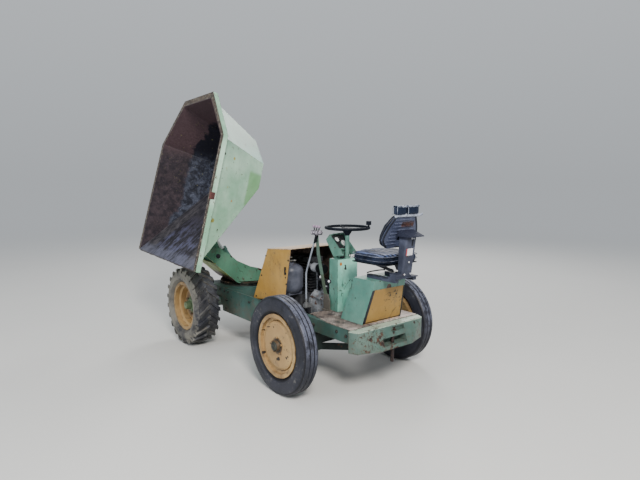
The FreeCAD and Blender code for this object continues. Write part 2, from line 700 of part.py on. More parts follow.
def make_skip_hinge():
    # Two lugs below the chute for the pivot pin, a stiffener between them, and the ram's bracket
    pivot = skip_point(PIVOT_FROM_LIP, 0, PIVOT_BELOW_RIM)
    slope = SKIP_DEPTH / FLOOR_FRONT
    lug_y = ARM_OFFSET - ARM_PLATE / 2 - LUG_SIDE_GAP - LUG_PLATE
    drop = 0.4

    def under_chute(back):
        return (-back, -back * slope - drop)

    foot = 48.0
    lug = [under_chute(110), under_chute(470), (-300, -PIVOT_BELOW_RIM + 60),
           (-PIVOT_FROM_LIP - 20, -PIVOT_BELOW_RIM - foot), (-PIVOT_FROM_LIP + 22, -PIVOT_BELOW_RIM - foot),
           (-PIVOT_FROM_LIP + foot, -PIVOT_BELOW_RIM - 20), (-PIVOT_FROM_LIP + foot, -PIVOT_BELOW_RIM + 30)]
    lugs = [across(lug, lug_y, lug_y + LUG_PLATE), across(lug, -lug_y - LUG_PLATE, -lug_y)]
    eye = (-RAM_EYE_FROM_LIP, -RAM_EYE_BELOW_RIM)
    ear = [under_chute(330), under_chute(450), (eye[0] - 24, eye[1] - 22), (eye[0] + 24, eye[1] - 22)]
    ears = [across(ear, 30, 42), across(ear, -42, -30)]
    tie = across([under_chute(180), under_chute(240), (-238, -248), (-186, -212)], -lug_y - 1, lug_y + 1)
    eye_pin = bar_y(eye[0], eye[1], RAM_PIN_RADIUS, -48, 48)
    body = fuse(lugs[0], lugs[1], tie)
    pad = across([under_chute(320), under_chute(460), (-458, -458 * slope - 12), (-322, -322 * slope - 12)],
                 -lug_y - 1, lug_y + 1)
    body = fuse(body, pad, *ears)
    body = fuse(body, eye_pin)
    return body.cut(bar_y(pivot.x, pivot.z, PIVOT_PIN_RADIUS + PIN_GAP, -260, 260))


# Tip ram, from its base pin on the carrier to its eye pin on the skip, in the carrier's frame

def skip_to_carrier():
    # Sets the level skip's frame on the carrier, tipped about the pivot
    pivot = Vector(-PIVOT_FROM_LIP, 0, -PIVOT_BELOW_RIM)
    tip = Rotation(Vector(0, 1, 0), TIP_ANGLE)
    seat = Vector(WHEELBASE + PIVOT_REACH, 0, PIVOT_HEIGHT) - tip.multVec(pivot)
    return Placement(seat, tip)


def ram_line():
    base = Vector(WHEELBASE + RAM_BASE_REACH, 0, RAM_BASE_HEIGHT)
    eye = skip_to_carrier().multVec(Vector(-RAM_EYE_FROM_LIP, 0, -RAM_EYE_BELOW_RIM))
    return base, eye


def make_barrel():
    base, eye = ram_line()
    along = (eye - base).normalize()
    boss_half = BARREL_RADIUS + RAM_EAR_GAP - 1
    boss = bar_y(base.x, base.z, 30, -boss_half, boss_half)
    tube = rod(base + along * 10, base + along * BARREL_LENGTH, BARREL_RADIUS)
    gland = rod(base + along * (BARREL_LENGTH - 26), base + along * (BARREL_LENGTH + 8), BARREL_RADIUS + 6)
    body = fuse(boss, tube, gland)
    body = body.cut(bar_y(base.x, base.z, RAM_PIN_RADIUS + PIN_GAP, -60, 60))
    return body.cut(rod(base + along * 36, base + along * (BARREL_LENGTH + 20), ROD_RADIUS + PIN_GAP))


def make_rod():
    base, eye = ram_line()
    along = (eye - base).normalize()
    shaft = rod(base + along * (BARREL_LENGTH - 26), eye - along * 20, ROD_RADIUS)
    eye_boss = bar_y(eye.x, eye.z, 27, -28, 28)
    body = fuse(shaft, eye_boss)
    return body.cut(bar_y(eye.x, eye.z, RAM_PIN_RADIUS + 3.0, -60, 60))


# Bonnet

def bonnet_outline():
    return [BONNET_FRONT_BOTTOM, BONNET_FRONT_TOP, BONNET_REAR_TOP, BONNET_REAR_BOTTOM]


def make_bonnet_side():
    return across(bonnet_outline(), BONNET_HALF_WIDTH - BONNET_SHEET, BONNET_HALF_WIDTH)


def make_bonnet_top():
    (x0, z0), (x1, z1) = BONNET_FRONT_TOP, BONNET_REAR_TOP
    outline = [(x0 + 6, z0), (x1, z1), (x1, z1 + BONNET_SHEET), (x0 + 6, z0 + BONNET_SHEET)]
    return across(outline, -BONNET_HALF_WIDTH - 2, BONNET_HALF_WIDTH + 2)


def make_bonnet_front():
    (x0, z0), (x1, z1) = BONNET_FRONT_BOTTOM, BONNET_FRONT_TOP
    inner = BONNET_HALF_WIDTH - BONNET_SHEET
    outline = [(x0, z0), (x0 - BONNET_SHEET, z0), (x1 - BONNET_SHEET, z1), (x1, z1)]
    sheet = across(outline, -inner, inner)
    run_x, run_z = x1 - x0, z1 - z0
    for row in range(9):
        share = 0.22 + 0.07 * row
        cx, cz = x0 + run_x * share, z0 + run_z * share
        sheet = sheet.cut(box(cx - 12, cx + 8, -200, 200, cz - 6, cz + 6))
    return sheet


# Engine, tank and controls

def make_engine():
    crank = box(400, 760, -150, 130, 400, 590)
    sump = box(430, 740, -120, 100, SUMP_BOTTOM, 400)
    solids = [crank, sump]
    for cylinder_x in (480, 625):
        solids.append(post(cylinder_x, -50, 56, 590, 850))
        for fin in range(10):
            z = 604 + fin * 24
            solids.append(box(cylinder_x - 68, cylinder_x + 68, -124, 24, z, z + 6))
        solids.append(box(cylinder_x - 58, cylinder_x + 58, -118, 18, 844, 890))
    solids.append(box(745, 805, -140, 120, 430, 640))
    solids.append(box(GEARBOX_FRONT + SEAT_GAP, 400, -110, 90, 440, 580))
    return fuse(solids[0], *solids[1:])


def make_bonnet_bearer():
    inner = FRAME_HALF_WIDTH - FRAME_PLATE
    return box(866, 916, -inner, inner, 440, BONNET_FRONT_BOTTOM[1])


def make_engine_bearer():
    inner = FRAME_HALF_WIDTH - FRAME_PLATE
    return box(560, 620, -inner, inner, 300, SUMP_BOTTOM - SEAT_GAP)


def make_tank():
    # An upright tank with domed ends, strapped to a cross bearer
    length_y = 20
    bottom, top = TANK_FOOT[1], TANK_TOP
    x, y = TANK_PLACE
    near, far = y - length_y / 2, y + length_y / 2
    body = fuse(post(x, near, TANK_RADIUS, bottom, top), post(x, far, TANK_RADIUS, bottom, top),
                box(x - TANK_RADIUS, x + TANK_RADIUS, near, far, bottom, top))
    rims = [edge for edge in body.Edges if abs(edge.BoundBox.ZMin - edge.BoundBox.ZMax) < 0.1]
    tank = body.makeFillet(TANK_RADIUS * 0.72, rims)
    cap = post(x - 16, y + 22, 24, top - 30, top + 14)
    strap = box(x - 36, x + 36, y - 78, y + 60, TANK_FOOT[0], bottom + 12)
    return fuse(tank, cap, strap)


def make_air_cleaner():
    x, y, z = AIR_CLEANER_PLACE
    body = rod(Vector(x, y, z), Vector(x - 135, y, z), 38)
    inlet = rod(Vector(x - 2, y, z), Vector(x + 14, y, z), 30)
    spout = rod(Vector(x + 2, y, z), Vector(x + 70, y - 20, z), 20)
    bracket = box(x - 90, x - 60, y - 20, y + 20, GEARBOX_TOP + SEAT_GAP, z - 30)
    return fuse(body, inlet, spout, bracket)


def make_gearbox():
    # A cast case with a round bell at the engine, a bolted flange round its lid and a selector turret
    front, rear, bottom, lid = GEARBOX_FRONT, 112, 440, GEARBOX_TOP - 44
    half = 94
    section = [(-half, bottom), (-half, lid), (-half + 34, GEARBOX_TOP), (half - 34, GEARBOX_TOP),
               (half, lid), (half, bottom)]
    ring = [Vector(rear, y, z) for y, z in section]
    case = Part.Face(Part.makePolygon(ring + ring[:1])).extrude(Vector(front - 18 - rear, 0, 0))
    flange = box(rear - 8, front - 18, -half - 9, half + 9, lid - 14, lid)
    outline = [(front, 0), (front, GEARBOX_BELL_RADIUS), (front - 26, GEARBOX_BELL_RADIUS),
               (front - 44, 84), (front - 44, 0)]
    bell = turned_x(outline, 0, GEARBOX_TOP - 112)
    turret = fuse(box(180, 250, -34, 44, GEARBOX_TOP - 4, GEARBOX_TOP + 16),
                  post(214, 6, 22, GEARBOX_TOP, GEARBOX_TOP + 34))
    return fuse(case, flange, bell, turret)


def turned_x(outline, y, z):
    # Revolves an outline of (x, radius) points about the fore and aft line at y, z
    ring = [Vector(x, y, z + radius) for x, radius in outline]
    face = Part.Face(Part.makePolygon(ring + ring[:1]))
    return face.revolve(Vector(0, y, z), Vector(1, 0, 0), 360)


def make_gear_lever():
    deck = FRAME_TOP + DECK_PLATE
    foot, top = Vector(296, 158, deck + 6), Vector(165, 160, 1100)
    lever = bent_rod([foot, Vector(295, 160, 795), Vector(198, 160, 1040), top], 7, 90)
    bracket = box(284, 316, GEARBOX_BELL_RADIUS + SEAT_GAP, 176, deck - 19, deck + 10)
    socket = fuse(post(foot.x, foot.y, 18, deck - 14, deck + 21), bracket)
    boot = Part.makeCone(8, 14, 52, Vector(top.x + 24, top.y, top.z - 50), Vector(-0.46, 0, 0.89))
    return fuse(lever, socket, boot)


def make_spool_valve():
    # A flat bent stay on a floor bracket carries a small valve with three short levers
    deck = FRAME_TOP + DECK_PLATE
    x, y = SPOOL_PLACE
    valve = SPOOL_BOTTOM
    low = brace(Vector(x - 122, y, deck + 90), Vector(x - 20, y, valve - 152), 8, 30)
    high = brace(Vector(x - 21, y, valve - 158), Vector(x, y, valve + 4), 8, 30)
    outline = [(x - 166, deck), (x - 94, deck), (x - 94, deck + 131), (x - 136, deck + 131),
               (x - 166, deck + 76)]
    plate = across(outline, y - 6, y + 6)
    foot = box(x - 166, x - 94, y - 16, y + 26, deck, deck + 8)
    block = box(x - 42, x + 42, y - 22, y + 26, valve, valve + 36)
    valve_parts = [low, high, plate, foot]
    for offset in (-26, 0, 26):
        tip = Vector(x + offset * 1.3, y + 3, valve + 62)
        valve_parts.append(rod(Vector(x + offset, y, valve + 30), tip, 5))
        valve_parts.append(Part.makeSphere(12, tip + Vector(0, 0, 4)))
    return fuse(block, *valve_parts)


def make_column_box():
    x0, x1 = COLUMN_REAR, COLUMN_REAR + COLUMN_DEPTH
    z0 = FRAME_TOP + DECK_PLATE
    return box(x0, x1, -COLUMN_HALF_WIDTH, COLUMN_HALF_WIDTH, z0, COLUMN_TOP)


def make_instrument_box():
    # A leaning box whose face looks up at the driver: a sunk panel, two dials, deep cheeks and a foot
    front_low, back_low, top = (50, COLUMN_TOP + 14), (12, COLUMN_TOP + 72), (97, 1122)
    front_top, cheek_low = (142, 1076), (-72, COLUMN_TOP + 38)
    left, right, sheet = 80, -72, 6
    body = across([front_low, front_top, top, back_low], right, left)
    along = Vector(top[0] - back_low[0], 0, top[1] - back_low[1]).normalize()
    inward = Vector(along.z, 0, -along.x)
    corner = Vector(back_low[0], 0, back_low[1]) + along * 8
    length = math.hypot(top[0] - back_low[0], top[1] - back_low[1]) - 16
    ring = [corner - inward, corner + along * length - inward, corner + along * length + inward * 8,
            corner + inward * 8]
    body = body.cut(across([(point.x, point.z) for point in ring], right + 8, left - 8))
    for y, share, radius in [(30, 0.66, 24), (-24, 0.36, 30)]:
        seat = corner + inward * 9 + along * (length * share) + Vector(0, y, 0)
        body = fuse(body, rod(seat, seat - inward * 8, radius))
    cheek = [front_low, front_top, top, cheek_low]
    cheeks = [across(cheek, y0, y0 + sheet) for y0 in (left - sheet, right)]
    foot = across([front_low, (26, COLUMN_TOP + 60), (22, COLUMN_TOP), (60, COLUMN_TOP)],
                  right + 22, left - 10)
    return fuse(body, foot, *cheeks)


def make_steering_column():
    tube = post(STEERING_X, STEERING_Y, 17, COLUMN_TOP, STEERING_WHEEL_HEIGHT - 61.3)
    collar = post(STEERING_X, STEERING_Y, 21, COLUMN_TOP, COLUMN_TOP + 14)
    return fuse(tube, collar)


def make_steering_wheel():
    x, y, z = STEERING_X, STEERING_Y, STEERING_WHEEL_HEIGHT
    grip = 11.0
    ring = Part.makeTorus(STEERING_WHEEL_RADIUS - grip, grip, Vector(x, y, z), Vector(0, 0, 1))
    hub = Part.makeCone(16, 44, 44, Vector(x, y, z - 61), Vector(0, 0, 1))
    cap = post(x, y, 44, z - 18, z - 2)
    spokes = []
    for index in range(3):
        angle = math.radians(120 * index + 100)
        tip = Vector(x + (STEERING_WHEEL_RADIUS - grip) * math.cos(angle),
                     y + (STEERING_WHEEL_RADIUS - grip) * math.sin(angle), z)
        spokes.append(rod(Vector(x, y, z - 12), tip, 7))
    angle = math.radians(215)
    knob_x = x + (STEERING_WHEEL_RADIUS - grip) * math.cos(angle)
    knob_y = y + (STEERING_WHEEL_RADIUS - grip) * math.sin(angle)
    knob = fuse(post(knob_x, knob_y, 7, z, z + 30), post(knob_x, knob_y, 20, z + 26, z + 56))
    return fuse(ring, hub, cap, knob, *spokes)


# Seat box and seat

def seat_box_outline():
    base = FRAME_TOP + DECK_PLATE
    return [(-178, base), (-272, SEAT_BOX_TOP), (-490, SEAT_BOX_TOP), (-410, base)]


def make_seat_box():
    # Narrower at the top than at the bottom, leaning back, with an open back behind the door
    base = FRAME_TOP + DECK_PLATE
    low, high = SEAT_BOX_HALF
    (x0, _), (x1, _), (x2, _), (x3, _) = seat_box_outline()
    bottom = [Vector(x0, low, base), Vector(x3, low, base), Vector(x3, -low, base), Vector(x0, -low, base)]
    top = [Vector(x1, high, SEAT_BOX_TOP), Vector(x2, high, SEAT_BOX_TOP), Vector(x2, -high, SEAT_BOX_TOP),
           Vector(x1, -high, SEAT_BOX_TOP)]
    outer = slab(bottom, top)
    sheet = 5.0
    bottom_in = [Vector(x0 - sheet, low - sheet, base - 1), Vector(x3 - 60, low - sheet, base - 1),
                 Vector(x3 - 60, -low + sheet, base - 1), Vector(x0 - sheet, -low + sheet, base - 1)]
    lid = SEAT_BOX_TOP - 66
    share = (lid - base) / (SEAT_BOX_TOP - base)
    half = low + (high - low) * share - sheet
    front = x0 + (x1 - x0) * share - sheet
    back = x3 + (x2 - x3) * share - 60
    top_in = [Vector(front, half, lid), Vector(back, half, lid), Vector(back, -half, lid),
              Vector(front, -half, lid)]
    return outer.cut(slab(bottom_in, top_in))


def make_seat_box_door():
    base = FRAME_TOP + DECK_PLATE
    low, high = SEAT_BOX_HALF
    (x0, _), (x1, _), (x2, _), (x3, _) = seat_box_outline()
    lid = SEAT_BOX_TOP - 66.3
    share = (lid - base) / (SEAT_BOX_TOP - base)
    x_top = x3 + (x2 - x3) * share
    half_low = low - 11
    half_top = low + (high - low) * share - 11
    outer = [Vector(x3 + 1, half_low, base), Vector(x_top + 1, half_top, lid),
             Vector(x_top + 1, -half_top, lid), Vector(x3 + 1, -half_low, base)]
    inner = [point + Vector(5, 0, 0) for point in outer]
    return slab(outer, inner)


def housing_front(z):
    # How far forward the front of the seat's leaning housing is at this height
    return -580.0 - 8.0 * (z - SEAT_BOX_TOP - 34) / 286.0


def make_seat_base():
    z = SEAT_BOX_TOP
    left, right = SEAT_MIDDLE_Y + HOUSING_HALF, SEAT_MIDDLE_Y - HOUSING_HALF
    rail_left, rail_right = SEAT_MIDDLE_Y + SEAT_RAIL_OUT, SEAT_MIDDLE_Y - SEAT_RAIL_OUT
    rail_top = z + SEAT_RAIL_HEIGHT
    rails = [box(-612, -335, rail_left - SEAT_RAIL_WIDTH, rail_left, z, rail_top),
             box(-612, -335, rail_right, rail_right + SEAT_RAIL_WIDTH, z, rail_top)]
    plate_top = rail_top + SEAT_PLATE
    plate = box(-628, -520, rail_right, rail_left, rail_top, plate_top)
    lean = across([(housing_front(plate_top), plate_top), (housing_front(HOUSING_TOP), HOUSING_TOP),
                   (-662, HOUSING_TOP), (-622, plate_top)], right, left)
    rear_edges = [edge for edge in lean.Edges if edge.BoundBox.XMax < -621 and edge.BoundBox.ZLength > 200]
    lean = lean.makeFillet(16, rear_edges)
    block = box(-622, -560, left - 2, left + 58, plate_top, plate_top + 28)
    top = HOUSING_TOP
    cap = across([(-572, top), (-586, top + 34), (-600, top + 42), (-655, top + 24), (-702, top + 6),
                  (-702, top)], right - 24, left + 14)
    return fuse(rails[0], rails[1], plate, lean, block, cap)


def make_seat_pan():
    # A sheet under the cushion, a bracket to the housing and the two links of the suspension
    bottom, top = SEAT_PAN_BOTTOM, SEAT_PAN_BOTTOM + SEAT_PAN_PLATE
    middle = SEAT_MIDDLE_Y
    pan = box(-560, -245, middle - 172, middle + 172, bottom, top)
    low = bottom - 33
    profile = [(housing_front(low) + SEAT_GAP, low), (-562, low), (-540, top),
               (housing_front(top) + SEAT_GAP, top)]
    bracket = across(profile, middle - HOUSING_HALF + 4, middle + HOUSING_HALF - 4)
    links = [brace(Vector(-568, y, bottom - 36), Vector(-380, y, bottom - 6), 10, 20)
             for y in (middle - 84, middle + 84)]
    return fuse(pan, bracket, *links)


def make_cushion():
    # Plan of (x, half width), round at the front
    plan = [(-576, 120), (-560, 178), (-500, 203), (-400, 205), (-330, 200), (-265, 186), (-228, 150),
            (-208, 95)]
    middle = SEAT_MIDDLE_Y
    ring = [(x, middle + half) for x, half in plan] + [(x, middle - half) for x, half in reversed(plan)]
    return upward(ring, SEAT_PAN_BOTTOM + SEAT_PAN_PLATE + SEAT_GAP, CUSHION_TOP)


def backrest_front(z):
    # How far forward the front face of the leaning shell is at this height
    return -505.0 - 99.0 * (z - 1042.0) / 276.0


def backrest(front, depth, sizes):
    # A leaning panel of (share of the height, half width) rows
    points = []
    for share, half in sizes:
        z = BACKREST_BOTTOM + (BACKREST_TOP - BACKREST_BOTTOM) * share
        points.append((backrest_front(z) - front, half, z))
    middle = SEAT_MIDDLE_Y / 2
    ring = [Vector(x, middle + y, z) for x, y, z in points]
    ring += [Vector(x, middle - y, z) for x, y, z in reversed(points)]
    face = Part.Face(Part.makePolygon(ring + ring[:1]))
    return face.extrude(Vector(-depth, 0, 0))


def make_back_pad():
    sizes = [(0.0, 112), (0.09, 150), (0.25, 178), (0.5, 181), (0.72, 165), (0.88, 134), (1.0, 104)]
    return backrest(-BACK_PAD_DEPTH, BACK_PAD_DEPTH - SEAT_GAP, sizes)


def make_back_shell():
    sizes = [(0.0, 104), (0.1, 142), (0.25, 170), (0.5, 160), (0.72, 134), (0.88, 110), (1.0, 104)]
    shell = backrest(0, BACK_SHELL_DEPTH, sizes)
    middle = SEAT_MIDDLE_Y / 2
    ribs = []
    for row in range(BACK_RIB_COUNT):
        z = BACKREST_BOTTOM + 24 + row * BACK_RIB_PITCH
        x = backrest_front(z) - BACK_SHELL_DEPTH
        half = 132 - 5 * row
        section = [(x + 2, z), (x - 4, z + 2), (x - 7, z + 9), (x - 2, z + 11)]
        ribs.append(across(section, middle - half, middle + half))
    low, high = BACKREST_BOTTOM + 16, BACKREST_BOTTOM + 56
    stalk = across([(backrest_front(low) - 6, low), (backrest_front(high) - 6, high),
                    (housing_front(high) + SEAT_GAP, high), (housing_front(low) + SEAT_GAP, low)],
                   SEAT_MIDDLE_Y - HOUSING_HALF + 10, SEAT_MIDDLE_Y + HOUSING_HALF - 10)
    return fuse(shell, stalk, *ribs)


def make_headrest():
    front = backrest_front(BACKREST_TOP)
    bottom = BACKREST_TOP + SEAT_GAP
    return box(front - 34, front + 4, -125, 118, bottom, bottom + HEADREST_HEIGHT)


# Where the pieces go, and the files

def slewed():
    turn = Rotation(Vector(0, 0, 1), SLEW_ANGLE)
    axis = Vector(WHEELBASE, 0, 0)
    return Placement(axis - turn.multVec(axis), turn)


def placed(shape, *placements):
    # Applies the placements from the innermost outwards
    moved = shape.copy()
    for placement in placements:
        moved = moved.transformed(placement.toMatrix(), True)
    return moved


def middle_of(shapes):
    bounds = FreeCAD.BoundBox()
    for shape in shapes:
        bounds.add(shape.BoundBox)
    return Vector((bounds.XMin + bounds.XMax) / 2, (bounds.YMin + bounds.YMax) / 2, 0)


def fixed_pieces():
    pieces = {
        "frame_side_left": make_side_plate(),
        "front_platform": make_platform(),
        "rear_crossmember": make_crossmember(),
        "footplate": make_deck(),
        "counterweight": make_counterweight(),
        "tow_pin": make_tow_pin(),
        "slew_ring": make_slew_base(),
        "front_axle": make_front_axle(),
        "rear_axle": make_rear_axle(),
        "axle_brace_left": make_axle_brace(),
        "bonnet_left": make_bonnet_side(),
        "bonnet_top": make_bonnet_top(),
        "bonnet_front": make_bonnet_front(),
        "engine": make_engine(),
        "bonnet_bearer": make_bonnet_bearer(),
        "engine_bearer": make_engine_bearer(),
        "fuel_tank": make_tank(),
        "air_cleaner": make_air_cleaner(),
        "gearbox": make_gearbox(),
        "gear_lever": make_gear_lever(),
        "spool_valve": make_spool_valve(),
        "column_box": make_column_box(),
        "instrument_box": make_instrument_box(),
        "steering_column": make_steering_column(),
        "steering_wheel": make_steering_wheel(),
        "seat_box": make_seat_box(),
        "seat_box_door": make_seat_box_door(),
        "seat_base": make_seat_base(),
        "seat_pan": make_seat_pan(),
        "seat_cushion": make_cushion(),
        "seat_back_pad": make_back_pad(),
        "seat_back_shell": make_back_shell(),
        "seat_headrest": make_headrest(),
        "knuckle_left": make_knuckle(),
        "track_rod": make_track_rod(),
        "tyre_front_left": make_front_tyre(),
        "wheel_front_left": make_front_wheel(),
        "tyre_rear_left": make_rear_tyre(),
        "wheel_rear_left": make_rear_wheel(),
    }
    for name in [name for name in pieces if name.endswith("_left")]:
        pieces[name.replace("_left", "_right")] = mirrored(pieces[name])
    return pieces


def carrier_pieces():
    return {
        "skip_carrier": make_carrier(),
        "skip_pivot_pin": make_pivot_pin(),
        "tip_ram_barrel": make_barrel(),
        "tip_ram_rod": make_rod(),
    }


def skip_pieces():
    left = skip_panel(["lip", "kink", "mid_floor", "front_floor"])
    corner = skip_panel(["kink", "rear", "back_floor", "mid_floor"])
    back = skip_panel(["rear", "-rear", "-back_floor", "back_floor"])
    return {
        "skip_side_left": left,
        "skip_side_right": mirrored(left),
        "skip_chute": skip_panel(["lip", "-lip", "-front_floor", "front_floor"]),
        "skip_floor": skip_panel(["front_floor", "mid_floor", "back_floor", "-back_floor", "-mid_floor",
                                  "-front_floor"]),
        "skip_back": fuse(corner, back, mirrored(corner)),
        "skip_rim": make_rim(),
        "skip_hinge": make_skip_hinge(),
    }


def main():
    pieces = fixed_pieces()
    for name, shape in carrier_pieces().items():
        pieces[name] = placed(shape, slewed())
    for name, shape in skip_pieces().items():
        pieces[name] = placed(shape, skip_to_carrier(), slewed())
    middle = middle_of(pieces.values())
    middle = Vector(round(middle.x, -1), round(middle.y, -1), 0)
    print("origin moved to machine point", middle.x, middle.y)
    for name, shape in pieces.items():
        moved = shape.copy()
        moved.translate(middle * -1)
        problems = "" if moved.isValid() and len(moved.Solids) else " CHECK"
        print(name, len(moved.Solids), round(moved.Volume / 1e6, 3), "litres" + problems)
        moved.exportStep("parts/" + name + ".step")


main()
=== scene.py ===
import math

import bmesh
import bpy
from mathutils import Matrix, Vector, noise


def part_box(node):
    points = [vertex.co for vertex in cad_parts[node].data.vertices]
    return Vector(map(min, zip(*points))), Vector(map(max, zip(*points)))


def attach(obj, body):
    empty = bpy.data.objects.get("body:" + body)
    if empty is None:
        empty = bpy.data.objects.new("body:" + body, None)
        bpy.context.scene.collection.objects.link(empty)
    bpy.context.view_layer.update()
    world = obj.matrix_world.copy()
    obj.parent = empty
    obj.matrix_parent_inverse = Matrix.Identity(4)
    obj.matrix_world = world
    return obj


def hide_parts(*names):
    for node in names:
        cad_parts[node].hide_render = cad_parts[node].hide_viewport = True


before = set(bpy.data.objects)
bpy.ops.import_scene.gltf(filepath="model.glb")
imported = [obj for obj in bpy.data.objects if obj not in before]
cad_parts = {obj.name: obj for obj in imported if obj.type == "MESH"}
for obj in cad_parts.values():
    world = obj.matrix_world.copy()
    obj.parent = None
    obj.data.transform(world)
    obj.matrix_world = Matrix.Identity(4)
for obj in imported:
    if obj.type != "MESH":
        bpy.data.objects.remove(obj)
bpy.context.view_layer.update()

# The row frame's origin, seen from the rear axle's middle on the ground
SHIFT = Vector((0.84, 0.10, 0.0))

# Camera
CAMERA_PLACE = Vector((-2.967, 2.672, 1.559)) - SHIFT
CAMERA_YAW = math.radians(-39.15)
CAMERA_PITCH = math.radians(-6.86)
CAMERA_ROLL = math.radians(0.22)
CAMERA_LENS = 28.829
SENSOR_WIDTH = 36.0

# Light
HORIZON = 0.50
SKY = (0.90, 0.95, 1.0, 1.0)

# The skip's own axes at rest: from its back to its lip, to its left, and out of its mouth
SKIP_LIP_MIDDLE = Vector((1.5616, 0.8482, 0.8181)) - SHIFT
SKIP_ALONG = Vector((0.0165, 0.2447, -0.9695))
SKIP_LEFT = Vector((-0.9963, 0.0854, 0.0046))
SKIP_OUT = Vector((0.0840, 0.9658, 0.2452))

# Colours, linear
GREEN = (0.052, 0.165, 0.130)
GREEN_FADED = (0.120, 0.270, 0.220)
SKIP_GREEN = (0.190, 0.370, 0.250)
SKIP_GREEN_FADED = (0.370, 0.540, 0.430)
TAN = (0.310, 0.172, 0.036)
TAN_FADED = (0.400, 0.245, 0.075)
RUST = (0.075, 0.032, 0.018)
RUST_DARK = (0.022, 0.013, 0.011)
RUST_ORANGE = (0.098, 0.052, 0.030)
DUST = (0.300, 0.250, 0.205)
MUD = (0.090, 0.076, 0.062)
RUBBER = (0.006, 0.007, 0.011)
RUBBER_GREY = (0.022, 0.024, 0.034)
VINYL = (0.004, 0.006, 0.012)
VINYL_DUST_AND_SHEEN = (0.080, 0.110, 0.220)
BLACK = (0.006, 0.008, 0.012)

UP = Vector((0, 0, 1))


def machine(x, y, z):
    """A point measured from the rear axle's middle on the ground, in millimetres, as a point of the row frame."""
    return Vector((x / 1000, y / 1000, z / 1000)) - SHIFT


# Shaders

class Shader:
    """A material whose colour, roughness and bump are built up from nodes in the object's own coordinates."""

    def __init__(self, name):
        self.material = bpy.data.materials.new(name)
        self.material.use_nodes = True
        self.tree = self.material.node_tree
        self.tree.nodes.clear()
        self.output = self.tree.nodes.new("ShaderNodeOutputMaterial")
        self.surface = self.tree.nodes.new("ShaderNodeBsdfPrincipled")
        self.tree.links.new(self.surface.outputs[0], self.output.inputs[0])
        self.coordinates = self.tree.nodes.new("ShaderNodeTexCoord")
        self.place = self.coordinates.outputs["Object"]

    def add(self, kind, inputs, **settings):
        made = self.tree.nodes.new(kind)
        for key, value in settings.items():
            setattr(made, key, value)
        for key, value in inputs.items():
            if isinstance(value, bpy.types.NodeSocket):
                self.tree.links.new(value, made.inputs[key])
            else:
                made.inputs[key].default_value = value
        return made

    def noise(self, scale, detail=4.0, rough=0.55, stretch=None, distort=0.0):
        place = self.place
        if stretch:
            place = self.add("ShaderNodeVectorMath", {0: place, 1: stretch}, operation="MULTIPLY").outputs[0]
        made = self.add("ShaderNodeTexNoise", {"Vector": place, "Scale": scale, "Detail": detail,
                                               "Roughness": rough, "Distortion": distort})
        return made.outputs["Fac"]

    def cells(self, scale, feature="F1", randomness=1.0):
        made = self.add("ShaderNodeTexVoronoi", {"Vector": self.place, "Scale": scale, "Randomness": randomness},
                        feature=feature)
        return made.outputs["Distance"]

    def step(self, value, low, high):
        made = self.add("ShaderNodeMapRange", {"Value": value, "From Min": low, "From Max": high},
                        interpolation_type="SMOOTHSTEP")
        return made.outputs["Result"]

    def math(self, operation, first, second=0.0, third=0.0):
        made = self.add("ShaderNodeMath", {0: first, 1: second, 2: third}, operation=operation)
        return made.outputs[0]

    def mix(self, factor, first, second):
        def colour(value):
            return value if isinstance(value, bpy.types.NodeSocket) else (*value, 1.0)
        made = self.add("ShaderNodeMix", {0: factor, 6: colour(first), 7: colour(second)}, data_type="RGBA")
        return made.outputs[2]

    def shade(self, colour, factor):
        # Darkens or lightens a colour by a grey factor
        made = self.add("ShaderNodeVectorMath", {0: colour, "Scale": factor}, operation="SCALE")
        return made.outputs[0]

    def along(self, axis, origin=Vector((0, 0, 0))):
        # Distance from origin along an axis, in the row frame
        made = self.add("ShaderNodeVectorMath", {0: self.place, 1: tuple(axis)}, operation="DOT_PRODUCT")
        return self.math("SUBTRACT", made.outputs["Value"], axis.dot(origin))

    def facing(self, axis):
        # How much the surface faces an axis, in the row frame
        made = self.add("ShaderNodeVectorMath", {0: self.coordinates.outputs["Normal"], 1: tuple(axis)},
                        operation="DOT_PRODUCT")
        return made.outputs["Value"]

    def edges(self, radius):
        # Near 1 on sharp edges, 0 on flats
        bevel = self.add("ShaderNodeBevel", {"Radius": radius}, samples=4)
        normal = self.add("ShaderNodeNewGeometry", {})
        made = self.add("ShaderNodeVectorMath", {0: bevel.outputs[0], 1: normal.outputs["Normal"]},
                        operation="DOT_PRODUCT")
        return self.step(made.outputs["Value"], 0.99, 0.80)

    def spot(self, centre, radius, ragged=0.9):
        # Near 1 inside a ragged blot round a point
        away = self.add("ShaderNodeVectorMath", {0: self.place, 1: tuple(centre)}, operation="DISTANCE")
        edge = self.math("MULTIPLY_ADD", self.noise(48.0, 5.0, 0.65), ragged * 2 * radius, -ragged * radius)
        return self.step(self.math("ADD", away.outputs["Value"], edge), radius, radius * 0.85)

    def window(self, value, low, high, soft=0.003):
        # Near 1 where a value lies between two bounds
        return self.math("MULTIPLY", self.step(value, low - soft, low + soft), self.step(value, high + soft, high - soft))

    def bump(self, height, distance, strength=1.0):
        made = self.add("ShaderNodeBump", {"Height": height, "Distance": distance, "Strength": strength})
        return made.outputs[0]

    def finish(self, colour, rough, metal=0.0, normal=None, shine=0.35):
        values = {"Base Color": colour if isinstance(colour, bpy.types.NodeSocket) else (*colour, 1.0),
                  "Roughness": rough, "Metallic": metal, "Specular IOR Level": shine}
        if normal is not None:
            values["Normal"] = normal
        for key, value in values.items():
            if isinstance(value, bpy.types.NodeSocket):
                self.tree.links.new(value, self.surface.inputs[key])
            else:
                self.surface.inputs[key].default_value = value
        return self.material


